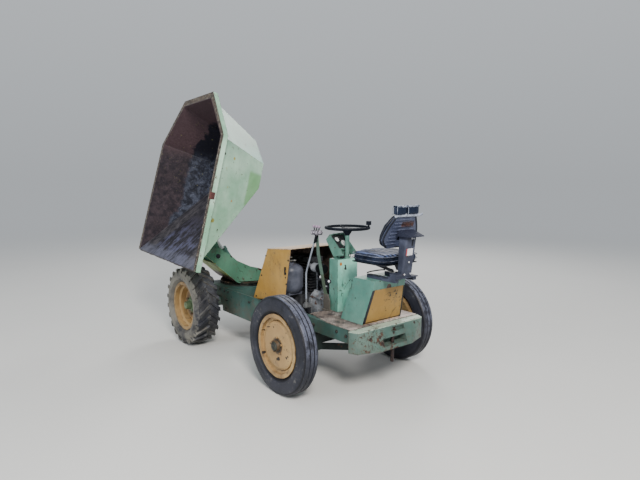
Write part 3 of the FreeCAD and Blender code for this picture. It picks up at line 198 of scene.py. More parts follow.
def worn_paint(name, base, faded, chips=0.655, wear=0.20, mud=0.5, rough=0.42, chip_scale=26.0, blots=(),
               crazed=0.0, sunny=None, sun=0.85, dark_faces=(), under=False, clusters=(), shine=0.35,
               pale_above=None):
    """Old paint: faded patches, dirt that gathers low down, fine chips with a rusty rim, and scratches.

    blots is a row of (centre, radius, colour) for marks that have a place of their own, crazed a share of fine dark
    cracks, sunny an axis whose faces get painted light, by the share sun, dark_faces a row of axes whose faces get a
    dark brown painted shade, clusters a row of (centre, radius) for places where the paint has come off, and pale_above
    the height above which it turns a chalky green."""
    s = Shader(name)
    broad = s.noise(2.3, 5.0, 0.6)
    colour = s.mix(s.step(broad, 0.36, 0.66), base, faded)
    streaks = s.noise(8.0, 4.0, 0.6, stretch=(1.0, 1.0, 0.13))
    colour = s.shade(colour, s.math("MULTIPLY_ADD", streaks, 0.60, 0.70))
    grime = s.noise(13.0, 7.0, 0.68)
    colour = s.mix(s.math("MULTIPLY", s.step(grime, 0.52, 0.74), 0.50), colour, MUD)
    low = s.step(s.along(UP), 0.62, 0.22)
    colour = s.mix(s.math("MULTIPLY", s.math("MULTIPLY", low, s.step(grime, 0.30, 0.62)), mud), colour, MUD)
    # Painted light: faces turned towards the sunny axis are made lighter.
    if sunny:
        colour = s.shade(colour, s.math("MULTIPLY_ADD", s.step(s.facing(sunny), 0.5, 0.9), sun, 1.0))
    if pale_above:
        colour = s.mix(s.step(s.along(UP), pale_above, pale_above + 0.006), colour, (0.330, 0.420, 0.340))
    edge = s.edges(0.006)
    fine = s.noise(chip_scale, 8.0, 0.66)
    cluster = s.noise(3.7, 3.0, 0.5)
    level = s.math("ADD", s.math("MULTIPLY_ADD", edge, wear, fine), s.math("MULTIPLY_ADD", cluster, 0.22, -0.11))
    for centre, radius in clusters:
        away = s.add("ShaderNodeVectorMath", {0: s.place, 1: tuple(centre)}, operation="DISTANCE").outputs["Value"]
        level = s.math("ADD", level, s.math("MULTIPLY", s.step(away, radius, radius * 0.15), 0.11))
    colour = s.mix(s.math("MULTIPLY", s.step(level, chips - 0.022, chips + 0.004), 0.8), colour, RUST_ORANGE)
    chip = s.step(level, chips + 0.002, chips + 0.022)
    colour = s.mix(chip, colour, s.mix(s.step(s.noise(44.0), 0.48, 0.66), RUST_DARK, RUST))
    scratch = s.noise(30.0, 3.0, 0.5, stretch=(1.0, 0.25, 0.09), distort=0.6)
    thin = s.math("MULTIPLY", s.step(s.math("ABSOLUTE", s.math("SUBTRACT", scratch, 0.5)), 0.010, 0.004),
                  s.step(cluster, 0.50, 0.60))
    colour = s.mix(s.math("MULTIPLY", thin, 0.8), colour, RUST_DARK)
    if crazed:
        patchy = s.step(s.noise(5.0, 4.0, 0.6), 0.46, 0.56)
        crack = s.step(s.math("ABSOLUTE", s.math("SUBTRACT", s.noise(15.0, 7.0, 0.62, distort=0.8), 0.5)), 0.012, 0.004)
        colour = s.mix(s.math("MULTIPLY", s.math("MULTIPLY", crack, patchy), crazed), colour, (0.020, 0.022, 0.020))
        flaked = s.math("MULTIPLY", s.step(s.noise(25.0, 7.0, 0.7), 0.58, 0.60), patchy)
        colour = s.mix(s.math("MULTIPLY", flaked, crazed), colour, s.mix(s.step(grime, 0.45, 0.6), RUST_DARK, RUST))
    for centre, radius, tint in blots:
        colour = s.mix(s.spot(centre, radius), colour, tint)
    if under:
        # The plate below the arms kept its first olive coat, and is oily and rusty where it meets the ring, where a
        # near-black band is partly grease and partly painted shade
        sloped = s.math("MULTIPLY", s.step(s.facing(Vector((0.06, 0.99, 0))), 0.45, 0.60),
                        s.step(s.math("ABSOLUTE", s.facing(UP)), 0.45, 0.60))
        olive = s.mix(s.step(grime, 0.42, 0.60), (0.205, 0.250, 0.072), (0.100, 0.112, 0.036))
        # Painted light: the plate's underside is made lighter and its top darker.
        underside_light = s.math("MULTIPLY_ADD", s.facing(UP), -1.1, 1.7)
        colour = s.mix(sloped, colour, s.shade(olive, underside_light))
        grease_and_shade = s.step(s.along(UP), 0.558, 0.553)
        colour = s.mix(grease_and_shade, colour, s.mix(s.step(grime, 0.45, 0.62), (0.008, 0.009, 0.008), (0.030, 0.030, 0.024)))
        oily = s.step(s.math("MULTIPLY_ADD", grime, 0.10, s.along(UP)), 0.700, 0.655)
        facing_out = s.step(s.facing(Vector((-1, 0, 0))), 0.5, 0.2)
        sludge = s.mix(s.step(fine, 0.45, 0.56), (0.034, 0.024, 0.020), (0.120, 0.080, 0.058))
        colour = s.mix(s.math("MULTIPLY", oily, facing_out), colour, s.shade(sludge, underside_light))
    # Painted shade: faces turned towards these axes are painted dark brown.
    for axis in dark_faces:
        face_shade = s.mix(s.step(grime, 0.40, 0.62), (0.055, 0.040, 0.036), (0.170, 0.122, 0.105))
        colour = s.mix(s.step(s.facing(Vector(axis)), 0.30, 0.60), colour, face_shade)
    height = s.math("SUBTRACT", s.math("MULTIPLY", fine, 0.25), chip)
    roughness = s.math("MULTIPLY_ADD", grime, 0.35, rough - 0.16)
    return s.finish(colour, roughness, normal=s.bump(height, 0.0006, 0.7), shine=shine)


def skip_paint(name):
    """The skip: hazy mint paint outside; inside rust above the load line and mottled grey below it, with painted shade
    deep at the back.
    """
    s = Shader(name)
    back = s.along(SKIP_ALONG, SKIP_LIP_MIDDLE)
    deep = s.along(SKIP_OUT, SKIP_LIP_MIDDLE)
    inside = s.step(s.facing(SKIP_OUT), 0.02, 0.10)
    # Outside
    broad = s.noise(2.0, 5.0, 0.6)
    haze = s.step(broad, 0.32, 0.62)
    colour = s.mix(haze, SKIP_GREEN, SKIP_GREEN_FADED)
    # Painted shade: faces turned up are painted a deeper green, against the sky's sheen on them.
    skyward_shade = s.step(s.facing(UP), 0.10, 0.45)
    colour = s.mix(s.math("MULTIPLY", skyward_shade, 0.9), colour, s.mix(haze, (0.120, 0.300, 0.250), (0.190, 0.370, 0.330)))
    upper = s.step(s.along(UP), 1.66, 1.92)
    colour = s.mix(s.math("MULTIPLY", upper, 0.6), colour, (0.090, 0.175, 0.135))
    strip = s.math("MULTIPLY", s.math("MULTIPLY", s.step(back, -0.95, -0.91), s.step(back, -0.60, -0.64)),
                   s.step(deep, -0.40, -0.43))
    colour = s.mix(s.math("MULTIPLY", strip, 0.75), colour, (0.13, 0.31, 0.12))
    smudge = s.noise(5.0, 7.0, 0.68, distort=0.5)
    colour = s.shade(colour, s.math("MULTIPLY_ADD", smudge, 0.60, 0.72))
    runs = s.noise(14.0, 4.0, 0.6, stretch=(1.0, 1.0, 0.10))
    colour = s.mix(s.math("MULTIPLY", s.step(runs, 0.60, 0.74), 0.30), colour, (0.12, 0.13, 0.09))
    fine = s.noise(30.0, 8.0, 0.64)
    level = s.math("ADD", s.math("MULTIPLY_ADD", s.edges(0.007), 0.17, fine),
                   s.math("MULTIPLY_ADD", s.noise(3.0, 3.0), 0.20, -0.10))
    outside = s.mix(s.math("MULTIPLY", s.step(level, 0.65, 0.675), 0.8), colour, RUST)
    outside = s.mix(s.step(level, 0.675, 0.70), outside, RUST_DARK)
    stain = s.math("MULTIPLY", s.step(s.noise(21.0, 3.0, 0.5), 0.71, 0.75), 0.7)
    outside = s.mix(stain, outside, (0.330, 0.290, 0.060))
    for centre, radius, tint in SKIP_BLOTS:
        outside = s.mix(s.spot(centre, radius), outside, tint)
    # Inside
    mottle = s.noise(15.0, 9.0, 0.74, distort=0.30)
    grain = s.noise(44.0, 7.0, 0.74)
    flecks = s.step(s.noise(90.0, 3.0, 0.6), 0.62, 0.70)
    grey = s.mix(s.step(mottle, 0.40, 0.62), (0.008, 0.009, 0.015), (0.042, 0.048, 0.070))
    grey = s.mix(s.math("MULTIPLY", flecks, s.step(mottle, 0.42, 0.58)), grey, (0.130, 0.145, 0.190))
    rust = s.mix(s.step(mottle, 0.38, 0.64), (0.011, 0.009, 0.013), (0.032, 0.023, 0.028))
    rust = s.mix(s.math("MULTIPLY", flecks, 0.45), rust, (0.105, 0.070, 0.066))
    patches = s.noise(3.6, 5.0, 0.6)
    rust = s.shade(rust, s.math("MULTIPLY_ADD", patches, 1.2, 0.45))
    grey = s.shade(grey, s.math("MULTIPLY_ADD", patches, 1.2, 0.45))
    line = s.math("ADD", s.math("MULTIPLY_ADD", mottle, 0.12, deep), s.math("MULTIPLY", patches, 0.22))
    line = s.math("SUBTRACT", line, s.math("MULTIPLY", s.step(back, -0.85, -0.05), 0.11))
    above = s.step(line, -0.120, -0.090)
    load = s.mix(above, grey, rust)
    # Painted shade: deep at the back the inside is painted almost black.
    dark = s.mix(above, (0.006, 0.006, 0.011), (0.050, 0.031, 0.036))
    within = s.mix(s.step(back, -1.00, -1.16), load, dark)
    leaves = s.math("MULTIPLY", s.step(s.noise(64.0, 2.0, 0.5), 0.70, 0.73), s.step(back, -0.60, -0.80))
    within = s.mix(leaves, within, (0.110, 0.105, 0.040))
    within = s.shade(within, s.math("MULTIPLY_ADD", grain, 1.5, 0.25))
    seam = s.math("MULTIPLY", s.edges(0.009), s.step(fine, 0.35, 0.60))
    within = s.mix(s.math("MULTIPLY", seam, 0.65), within, (0.105, 0.100, 0.105))
    colour = s.mix(inside, outside, within)
    roughness = s.math("MULTIPLY_ADD", inside, 0.22, 0.42)
    height = s.math("MULTIPLY_ADD", grain, 0.7, mottle)
    bump = s.math("MULTIPLY", height, s.math("MULTIPLY_ADD", inside, 0.8, 0.2))
    return s.finish(colour, roughness, normal=s.bump(bump, 0.0026, 0.8), shine=0.12)


def chute_paint(name):
    """The discharge side: brown at its edges, polished by the load in streaks towards the lip."""
    s = Shader(name)
    back = s.along(SKIP_ALONG, SKIP_LIP_MIDDLE)
    side = s.along(SKIP_LEFT, SKIP_LIP_MIDDLE)
    inside = s.step(s.facing(SKIP_OUT), 0.02, 0.10)
    broad = s.noise(2.0, 5.0, 0.6)
    outside = s.mix(s.step(broad, 0.34, 0.62), SKIP_GREEN, SKIP_GREEN_FADED)
    fine = s.noise(26.0, 8.0, 0.64)
    outside = s.mix(s.step(fine, 0.66, 0.69), outside, RUST)
    # Streaks run from the back to the lip
    across = s.add("ShaderNodeCombineXYZ", {0: s.math("MULTIPLY", side, 34.0), 1: s.math("MULTIPLY", back, 3.4),
                                             2: 0.0}).outputs[0]
    streak = s.add("ShaderNodeTexNoise", {"Vector": across, "Scale": 1.0, "Detail": 8.0, "Roughness": 0.70})
    streak = streak.outputs["Fac"]
    mottle = s.noise(10.0, 8.0, 0.70)
    streak = s.math("MULTIPLY_ADD", mottle, 0.55, s.math("MULTIPLY", streak, 0.45))
    polished = s.mix(s.step(streak, 0.44, 0.56), (0.008, 0.007, 0.010), (0.034, 0.031, 0.042))
    bright = s.math("MULTIPLY", s.step(streak, 0.47, 0.60), s.step(s.math("MULTIPLY_ADD", mottle, 0.30, back), -0.30, 0.02))
    polished = s.mix(s.math("MULTIPLY", bright, 0.85), polished, (0.064, 0.069, 0.135))
    brown = s.mix(s.step(mottle, 0.38, 0.64), (0.020, 0.019, 0.024), (0.068, 0.063, 0.070))
    brown = s.mix(s.math("MULTIPLY", s.step(s.noise(80.0, 3.0), 0.62, 0.68), 0.5), brown, (0.090, 0.080, 0.070))
    edge = s.math("MULTIPLY_ADD", s.math("ABSOLUTE", side), 1.0, s.math("MULTIPLY", mottle, 0.16))
    rim = s.step(s.math("SUBTRACT", edge, s.math("MULTIPLY_ADD", back, 0.50, 0.60)), -0.04, 0.04)
    far = s.step(s.math("MULTIPLY_ADD", mottle, 0.30, back), -0.22, -0.42)
    within = s.mix(s.math("MAXIMUM", rim, s.math("MULTIPLY", far, 0.85)), polished, brown)
    near_lip = s.math("MULTIPLY", s.step(s.math("MULTIPLY_ADD", mottle, 0.09, back), -0.060, -0.015), s.step(streak, 0.36, 0.52))
    within = s.mix(s.math("MULTIPLY", near_lip, 0.6), within, (0.100, 0.105, 0.150))
    seam = s.math("MULTIPLY", s.edges(0.009), s.step(mottle, 0.35, 0.60))
    within = s.mix(s.math("MULTIPLY", seam, 0.6), within, (0.120, 0.115, 0.120))
    colour = s.mix(inside, outside, within)
    roughness = s.math("MULTIPLY_ADD", s.step(streak, 0.4, 0.7), -0.24, 0.58)
    height = s.math("MULTIPLY_ADD", streak, 0.8, mottle)
    return s.finish(colour, roughness, normal=s.bump(height, 0.0022, 0.8), shine=0.22)


def rim_paint(name):
    """The rolled rim: brown and pitted on the face that looks out of the mouth, green paint on its sides."""
    s = Shader(name)
    broad = s.noise(3.0, 6.0, 0.62)
    colour = s.mix(s.step(broad, 0.36, 0.62), SKIP_GREEN, SKIP_GREEN_FADED)
    fine = s.noise(24.0, 8.0, 0.68)
    level = s.math("MULTIPLY_ADD", s.edges(0.008), 0.20, fine)
    colour = s.mix(s.step(level, 0.60, 0.66), colour, RUST)
    colour = s.mix(s.step(level, 0.66, 0.70), colour, RUST_DARK)
    specks = s.noise(52.0, 5.0, 0.66)
    face = s.mix(s.step(fine, 0.40, 0.60), (0.026, 0.017, 0.014), (0.085, 0.062, 0.046))
    face = s.mix(s.step(specks, 0.54, 0.62), face, (0.230, 0.215, 0.170))
    face = s.mix(s.step(s.noise(70.0, 5.0, 0.6), 0.60, 0.66), face, (0.012, 0.009, 0.009))
    out = s.step(s.facing(SKIP_OUT), 0.60, 0.85)
    colour = s.mix(out, colour, face)
    return s.finish(colour, 0.60, normal=s.bump(fine, 0.0018, 0.7))


def chequer_plate(name):
    """A walked-on plate with crossed raised bars, rusty between them, under gravel dust."""
    s = Shader(name)
    split = s.add("ShaderNodeSeparateXYZ", {0: s.place})
    x, y = split.outputs[0], split.outputs[1]
    pitch = 0.022
    bars = None
    for turn, offset in ((1.0, 0.0), (-1.0, 0.5)):
        a = s.math("MULTIPLY_ADD", x, 1.0 / pitch, s.math("MULTIPLY", y, turn / pitch))
        b = s.math("MULTIPLY_ADD", x, -turn / pitch, s.math("MULTIPLY", y, 1.0 / pitch))
        a = s.math("PINGPONG", s.math("ADD", a, offset), 1.0)
        b = s.math("PINGPONG", s.math("ADD", b, offset), 1.0)
        bar = s.math("MULTIPLY", s.step(a, 0.22, 0.10), s.step(b, 0.62, 0.46))
        bars = bar if bars is None else s.math("MAXIMUM", bars, bar)
    rusty = s.noise(9.0, 8.0, 0.70)
    colour = s.mix(s.step(rusty, 0.40, 0.62), (0.036, 0.030, 0.032), (0.175, 0.138, 0.122))
    colour = s.mix(s.math("MULTIPLY", bars, s.math("MULTIPLY", s.step(rusty, 0.30, 0.60), 0.55)), colour,
                   (0.300, 0.245, 0.205))
    grit = s.noise(120.0, 4.0, 0.7)
    dusty = s.math("MULTIPLY", s.step(s.noise(3.4, 6.0, 0.62), 0.40, 0.56), s.step(grit, 0.34, 0.58))
    colour = s.mix(dusty, colour, (0.560, 0.480, 0.440))
    height = s.math("MULTIPLY_ADD", rusty, 0.3, s.math("MULTIPLY_ADD", grit, 0.3, bars))
    return s.finish(colour, 0.66, metal=0.1, normal=s.bump(height, 0.0012, 0.8))


def rubber(name, dusty, dust, tread_sheen, middle, groove_radius, tread):
    """A tyre: dusty walls, a paler tread on top that is partly weathering and partly painted sheen, grooves painted
    near-black as painted shade, and scuffed edges.

    tread is how far from the machine's middle line its tread starts and ends."""
    s = Shader(name)
    broad = s.noise(5.0, 6.0, 0.65)
    colour = s.mix(s.step(broad, 0.34, 0.68), RUBBER, RUBBER_GREY)
    split = s.add("ShaderNodeSeparateXYZ", {0: s.place})
    dx = s.math("SUBTRACT", split.outputs[0], middle.x)
    dz = s.math("SUBTRACT", split.outputs[2], middle.z)
    out = s.math("SQRT", s.math("ADD", s.math("MULTIPLY", dx, dx), s.math("MULTIPLY", dz, dz)))
    aside = s.math("ABSOLUTE", s.math("ADD", split.outputs[1], SHIFT.y))
    within = s.window(aside, tread[0], tread[1], 0.004)
    powder = s.math("MULTIPLY", s.step(s.noise(4.0, 7.0, 0.66), 0.34, 0.60), dusty)
    wall = s.step(s.math("ABSOLUTE", s.facing(Vector((0, 1, 0)))), 0.35, 0.75)
    powder = s.math("MULTIPLY", powder, s.math("MULTIPLY_ADD", wall, 0.75, 0.25))
    colour = s.mix(powder, colour, dust)
    marks = s.math("MULTIPLY", s.step(s.noise(30.0, 8.0, 0.74), 0.56, 0.64), s.math("MULTIPLY", wall, 0.55))
    colour = s.mix(marks, colour, s.mix(s.step(broad, 0.45, 0.55), (0.016, 0.017, 0.022), (0.150, 0.148, 0.142)))
    raised = s.step(out, groove_radius, groove_radius + 0.003)
    # Painted sheen, partly weathering: tread faces turned up and back are made paler.
    weathered_sheen = s.math("MULTIPLY", s.step(s.facing(Vector((-0.5, 0, 0.86))), 0.1, 0.8), s.step(s.noise(11.0, 6.0), 0.34, 0.58))
    weathered_sheen = s.math("MULTIPLY", weathered_sheen, s.math("MULTIPLY", within, raised))
    weathered_sheen = s.math("MULTIPLY", weathered_sheen, s.step(s.noise(46.0, 6.0, 0.72), 0.62, 0.50))
    colour = s.mix(s.math("MULTIPLY", weathered_sheen, 0.9), colour, tread_sheen)
    # Painted shade: the grooves are painted near-black.
    colour = s.mix(s.math("MULTIPLY", within, s.step(out, groove_radius + 0.001, groove_radius - 0.002)), colour,
                   (0.004, 0.004, 0.006))
    scuffs = s.math("MULTIPLY", s.edges(0.005), s.step(s.noise(32.0, 5.0, 0.6), 0.50, 0.60))
    colour = s.mix(s.math("MULTIPLY", scuffs, 0.65), colour, (0.135, 0.140, 0.160))
    fine = s.noise(90.0, 4.0, 0.6)
    cracks = s.step(s.cells(70.0, "DISTANCE_TO_EDGE"), 0.06, 0.0)
    height = s.math("SUBTRACT", fine, s.math("MULTIPLY", cracks, 0.6))
    return s.finish(colour, s.math("MULTIPLY_ADD", broad, 0.22, 0.40), normal=s.bump(height, 0.0006, 0.5), shine=0.25)


def plain_metal(name, low, high, scale=9.0, rough=0.5, metal=0.4, rusty=0.66, bump=0.0008, shine=0.30, shade_beyond=None):
    """Cast, rolled or moulded surfaces: two tones, a little rust, and darkened as painted shade on the far side of a
    plane if asked.
    """
    s = Shader(name)
    broad = s.noise(scale, 6.0, 0.65)
    colour = s.mix(s.step(broad, 0.34, 0.66), low, high)
    colour = s.mix(s.step(s.noise(scale * 2.2, 7.0, 0.62), rusty, rusty + 0.04), colour, RUST)
    # Painted shade: past the plane the colour turns dark.
    if shade_beyond:
        axis, origin, dark = shade_beyond
        past = s.step(s.math("MULTIPLY_ADD", broad, 0.03, s.along(axis, origin)), 0.010, 0.024)
        colour = s.mix(past, colour, dark)
    return s.finish(colour, s.math("MULTIPLY_ADD", broad, 0.3, rough - 0.15), metal=metal,
                    normal=s.bump(broad, bump, 0.5), shine=shine)


def wheel_paint(name, hub_middle, hub_radius, ring_radius, hub_colour, ring_colour, chips, blots=(), dirt_reach=0.075):
    """A wheel's centre: tan paint, with another colour on the hub and a rusty ring round its nuts."""
    s = Shader(name)
    broad = s.noise(2.6, 5.0, 0.6)
    colour = s.mix(s.step(broad, 0.34, 0.66), (0.300, 0.186, 0.078), (0.420, 0.282, 0.122))
    grime = s.noise(12.0, 7.0, 0.68)
    colour = s.mix(s.math("MULTIPLY", s.step(grime, 0.50, 0.74), 0.45), colour, MUD)
    split = s.add("ShaderNodeSeparateXYZ", {0: s.place})
    dx = s.math("SUBTRACT", split.outputs[0], hub_middle.x)
    dz = s.math("SUBTRACT", split.outputs[2], hub_middle.z)
    out = s.math("SQRT", s.math("ADD", s.math("MULTIPLY", dx, dx), s.math("MULTIPLY", dz, dz)))
    fine = s.noise(24.0, 8.0, 0.66)
    uneven = s.math("MULTIPLY_ADD", fine, 0.030, out)
    dirty = s.step(uneven, ring_radius + dirt_reach, ring_radius + 0.012)
    colour = s.mix(s.math("MULTIPLY", dirty, 0.9), colour, ring_colour)
    colour = s.mix(s.step(uneven, hub_radius + 0.018, hub_radius + 0.012), colour, hub_colour)
    flange = s.math("MULTIPLY", s.step(out, 0.188, 0.205), s.step(grime, 0.36, 0.62))
    colour = s.mix(s.math("MULTIPLY", flange, 0.55), colour, (0.120, 0.072, 0.035))
    level = s.math("MULTIPLY_ADD", s.edges(0.006), 0.16, fine)
    near = s.math("MULTIPLY", s.step(out, 0.17, 0.06), 0.05)
    level = s.math("ADD", level, near)
    colour = s.mix(s.step(level, chips, chips + 0.03), colour, RUST_DARK)
    for centre, radius in blots:
        away = s.add("ShaderNodeCombineXYZ", {0: s.math("SUBTRACT", dx, centre[0]), 1: 0.0,
                                               2: s.math("SUBTRACT", dz, centre[1])}).outputs[0]
        away = s.add("ShaderNodeVectorMath", {0: away}, operation="LENGTH").outputs["Value"]
        ragged = s.math("MULTIPLY_ADD", s.noise(70.0, 3.0), radius, away)
        colour = s.mix(s.step(ragged, radius * 1.35, radius * 1.15), colour, (0.012, 0.009, 0.009))
    return s.finish(colour, s.math("MULTIPLY_ADD", grime, 0.3, 0.34), normal=s.bump(fine, 0.0006, 0.5))


def vinyl(name, base, dust_and_sheen, dust_and_sheen_top=0.0, grain_size=520.0, brown=None, channels=None, shine=0.25):
    """Grained seat cloth: dark sides, paler on top with dust and a painted highlight.

    channels is (middle, pitch) of the padded rolls across the seat, with painted shade between them where no highlight
    is painted."""
    s = Shader(name)
    broad = s.noise(7.0, 6.0, 0.6)
    colour = s.mix(s.step(broad, 0.38, 0.68), base, tuple(0.75 * a + 0.25 * b for a, b in zip(base, dust_and_sheen)))
    # Painted highlight, partly dust: faces turned up are made paler.
    top = s.math("MULTIPLY", s.step(s.facing(UP), 0.60, 0.95), dust_and_sheen_top)
    top = s.math("MULTIPLY", top, s.step(s.noise(16.0, 5.0, 0.6, stretch=(0.35, 1.0, 1.0)), 0.32, 0.50))
    if channels:
        middle, pitch = channels
        split = s.add("ShaderNodeSeparateXYZ", {0: s.place})
        bent = s.math("MULTIPLY_ADD", s.noise(9.0, 3.0), 0.020, split.outputs[1])
        roll = s.math("PINGPONG", s.math("MULTIPLY_ADD", bent, 1 / pitch, -middle / pitch), 0.5)
        # The highlight is kept to the crowns of the rolls, leaving painted shade in the dips.
        top = s.math("MULTIPLY", top, s.step(roll, 0.10, 0.26))
    colour = s.mix(top, colour, dust_and_sheen)
    if brown:
        low, high = brown
        split = s.add("ShaderNodeSeparateXYZ", {0: s.place})
        ragged = s.math("MULTIPLY_ADD", s.noise(70.0, 4.0), 0.016, -0.008)
        patch = s.math("MULTIPLY", s.window(s.math("ADD", split.outputs[1], ragged), low.y, high.y),
                       s.window(s.math("ADD", split.outputs[2], ragged), low.z, high.z))
        patch = s.math("MULTIPLY", patch, s.step(s.facing(Vector((-1, 0, 0))), 0.2, 0.5))
        colour = s.mix(patch, colour, s.mix(s.step(s.noise(55.0, 4.0), 0.42, 0.58), (0.022, 0.012, 0.014), (0.066, 0.026, 0.020)))
    grain = s.cells(grain_size)
    height = s.math("MULTIPLY_ADD", broad, 0.8, grain)
    return s.finish(colour, s.math("MULTIPLY_ADD", broad, 0.20, 0.36), normal=s.bump(height, 0.0004, 0.5), shine=shine)


def banded(name, bands, rough=0.5, metal=0.2, scale=20.0):
    """One node with a finish for each height: bands is (from this height up, colour) rows, lowest first."""
    s = Shader(name)
    height = s.along(UP)
    colour = bands[0][1]
    for low, tint in bands[1:]:
        colour = s.mix(s.step(height, low - 0.002, low + 0.002), colour, tint)
    broad = s.noise(scale, 6.0, 0.65)
    colour = s.shade(colour, s.math("MULTIPLY_ADD", broad, 0.9, 0.55))
    return s.finish(colour, s.math("MULTIPLY_ADD", broad, 0.25, rough - 0.12), metal=metal,
                    normal=s.bump(broad, 0.0006, 0.5), shine=0.3)


FRONT_WHEEL = machine(1489, 0, 366)
REAR_WHEEL = machine(0, 0, 360)
rear_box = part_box("tyre_rear_left")
rear_middle = (rear_box[0][1] + rear_box[1][1]) / 2 + SHIFT.y
REAR_TREAD = (rear_middle - 0.062, rear_middle + 0.062)

COLUMN_BLOTS = [(machine(-30, 70, 901), 0.014, (0.420, 0.150, 0.030)), (machine(-30, 24, 884), 0.009, (0.020, 0.024, 0.024)),
                (machine(-30, 22, 870), 0.010, (0.020, 0.024, 0.024)), (machine(-30, 19, 856), 0.009, (0.020, 0.024, 0.024)),
                (machine(-30, -20, 760), 0.006, RUST_DARK), (machine(20, 103, 700), 0.006, RUST_DARK)]
WEIGHT_CLUSTERS = [(machine(-512, 312, 495), 0.055), (machine(-525, 273, 388), 0.060), (machine(-534, 150, 452), 0.070),
                   (machine(-548, 140, 395), 0.075), (machine(-478, 344, 430), 0.055), (machine(-556, 30, 372), 0.080),
                   (machine(-522, -40, 490), 0.060), (machine(-516, -234, 494), 0.040), (machine(-520, 230, 470), 0.050)]
WEIGHT_BLOTS = [(machine(-516, -236, 492), 0.011, RUST_DARK)]
COLUMN_CLUSTERS = [(machine(-30, 22, 866), 0.030), (machine(-30, 74, 905), 0.028), (machine(-30, 90, 600), 0.050)]
BOX_CLUSTERS = [(machine(-300, 172, 845), 0.030), (machine(-482, 100, 845), 0.020), (machine(-410, 200, 560), 0.030)]
SKIP_BLOTS = [(machine(836, 585, 1757), 0.012, RUST_DARK), (machine(824, 600, 1742), 0.012, RUST_DARK),
              (machine(812, 615, 1727), 0.011, RUST_DARK), (machine(800, 630, 1712), 0.009, RUST_DARK),
              (machine(879, 473, 1722), 0.013, (0.340, 0.310, 0.070)), (machine(833, 714, 1213), 0.020, (0.250, 0.230, 0.060)),
              (machine(902, 496, 1364), 0.009, (0.420, 0.200, 0.060)), (machine(1025, 277, 1850), 0.010, RUST_DARK),
              (machine(1049, 257, 1861), 0.008, RUST_DARK)]
ARM_BLOTS = [(machine(1288, 162, 593), 0.016, RUST), (machine(1306, 279, 820), 0.013, RUST_DARK)]
DOOR_BLOTS = [(machine(-456, -31, 716), 0.0085, BLACK), (machine(-457, -96, 721), 0.0085, BLACK),
              (machine(-440, -60, 660), 0.005, RUST_DARK), (machine(-425, -20, 600), 0.005, RUST_DARK)]
BOX_BLOTS = [(machine(-474, 6, 786), 0.024, (0.080, 0.038, 0.024)), (machine(-474, -12, 782), 0.016, RUST_DARK),
             (machine(-310, 178, 700), 0.006, RUST_DARK), (machine(-250, 188, 640), 0.004, RUST_DARK)]
SADDLE_BLOTS = [(machine(404, 290, 753), 0.009, BLACK), (machine(560, 290, 640), 0.004, RUST_DARK),
                (machine(600, 290, 600), 0.004, RUST_DARK)]

green = worn_paint("green_paint", (0.044, 0.138, 0.108), (0.100, 0.225, 0.182))
# The column's rear face is made lighter as painted light.
green_column = worn_paint("green_column", GREEN, GREEN_FADED, blots=COLUMN_BLOTS, chips=0.69, sunny=Vector((-1, 0, 0)), sun=1.3,
                          clusters=COLUMN_CLUSTERS)
# The seat box's top is made a little lighter as painted light.
green_box = worn_paint("green_box", (0.056, 0.165, 0.135), (0.120, 0.250, 0.210), blots=BOX_BLOTS, chips=0.69,
                       clusters=BOX_CLUSTERS, sunny=UP, sun=0.25)
green_arm = worn_paint("green_arm", (0.058, 0.150, 0.100), (0.095, 0.215, 0.150), chips=0.72, mud=0.2, blots=ARM_BLOTS,
                       under=True, shine=0.12)
# A darker copy of the chassis green for the frame's sides: painted shade.
green_frame_shade = worn_paint("green_frame_shade", (0.022, 0.068, 0.060), (0.055, 0.120, 0.110), chips=0.650, mud=0.8)
green_weight = worn_paint("green_weight", (0.040, 0.090, 0.078), (0.118, 0.180, 0.152), chips=0.648, wear=0.20,
                          mud=0.5, blots=WEIGHT_BLOTS, crazed=0.95, clusters=WEIGHT_CLUSTERS, pale_above=0.506)
# The inner faces of the bonnet's side and front sheets get painted shade.
tan = worn_paint("tan_paint", TAN, TAN_FADED, chips=0.70, wear=0.16, mud=0.25, blots=SADDLE_BLOTS,
                 dark_faces=((0, -1, 0), (-1, 0, 0)))
# The far bonnet sheet's inner face gets painted shade.
tan_far = worn_paint("tan_far", TAN, TAN_FADED, chips=0.70, wear=0.16, mud=0.25, dark_faces=((0, 1, 0),))
# A darker copy of the tan for the door, which faces the back: painted shade.
tan_door = worn_paint("tan_door", (0.255, 0.145, 0.030), (0.310, 0.190, 0.055), chips=0.70, wear=0.16, mud=0.2,
                      blots=DOOR_BLOTS)
# The bonnet's top: a paler cream copy of the tan as painted highlight, with painted shade on its underside.
pale_top = worn_paint("pale_top", (0.480, 0.340, 0.220), (0.620, 0.490, 0.380), chips=0.69, wear=0.20, mud=0.1,
                      dark_faces=((0, 0, -1),))
front_wheel = wheel_paint("front_wheel_paint", FRONT_WHEEL, 0.078, 0.100, (0.090, 0.140, 0.075), (0.100, 0.066, 0.042), 0.67)
rear_wheel = wheel_paint("rear_wheel_paint", REAR_WHEEL, 0.026, 0.056, (0.012, 0.013, 0.012), (0.042, 0.028, 0.020), 0.66,
                         blots=(((-0.014, -0.094), 0.022), ((0.004, -0.104), 0.014), ((-0.112, -0.062), 0.013),
                                ((-0.128, -0.048), 0.010), ((0.048, 0.127), 0.009), ((0.180, -0.098), 0.013),
                                ((0.186, 0.070), 0.010), ((0.170, -0.030), 0.008)), dirt_reach=0.028)
skip = skip_paint("skip_paint")
chute = chute_paint("chute_paint")
rim = rim_paint("rim_paint")
deck = chequer_plate("chequer_plate")
tyre_front = rubber("tyre_front_rubber", 0.95, (0.190, 0.178, 0.150), (0.050, 0.053, 0.064), FRONT_WHEEL, 0.10, (0.45, 0.62))
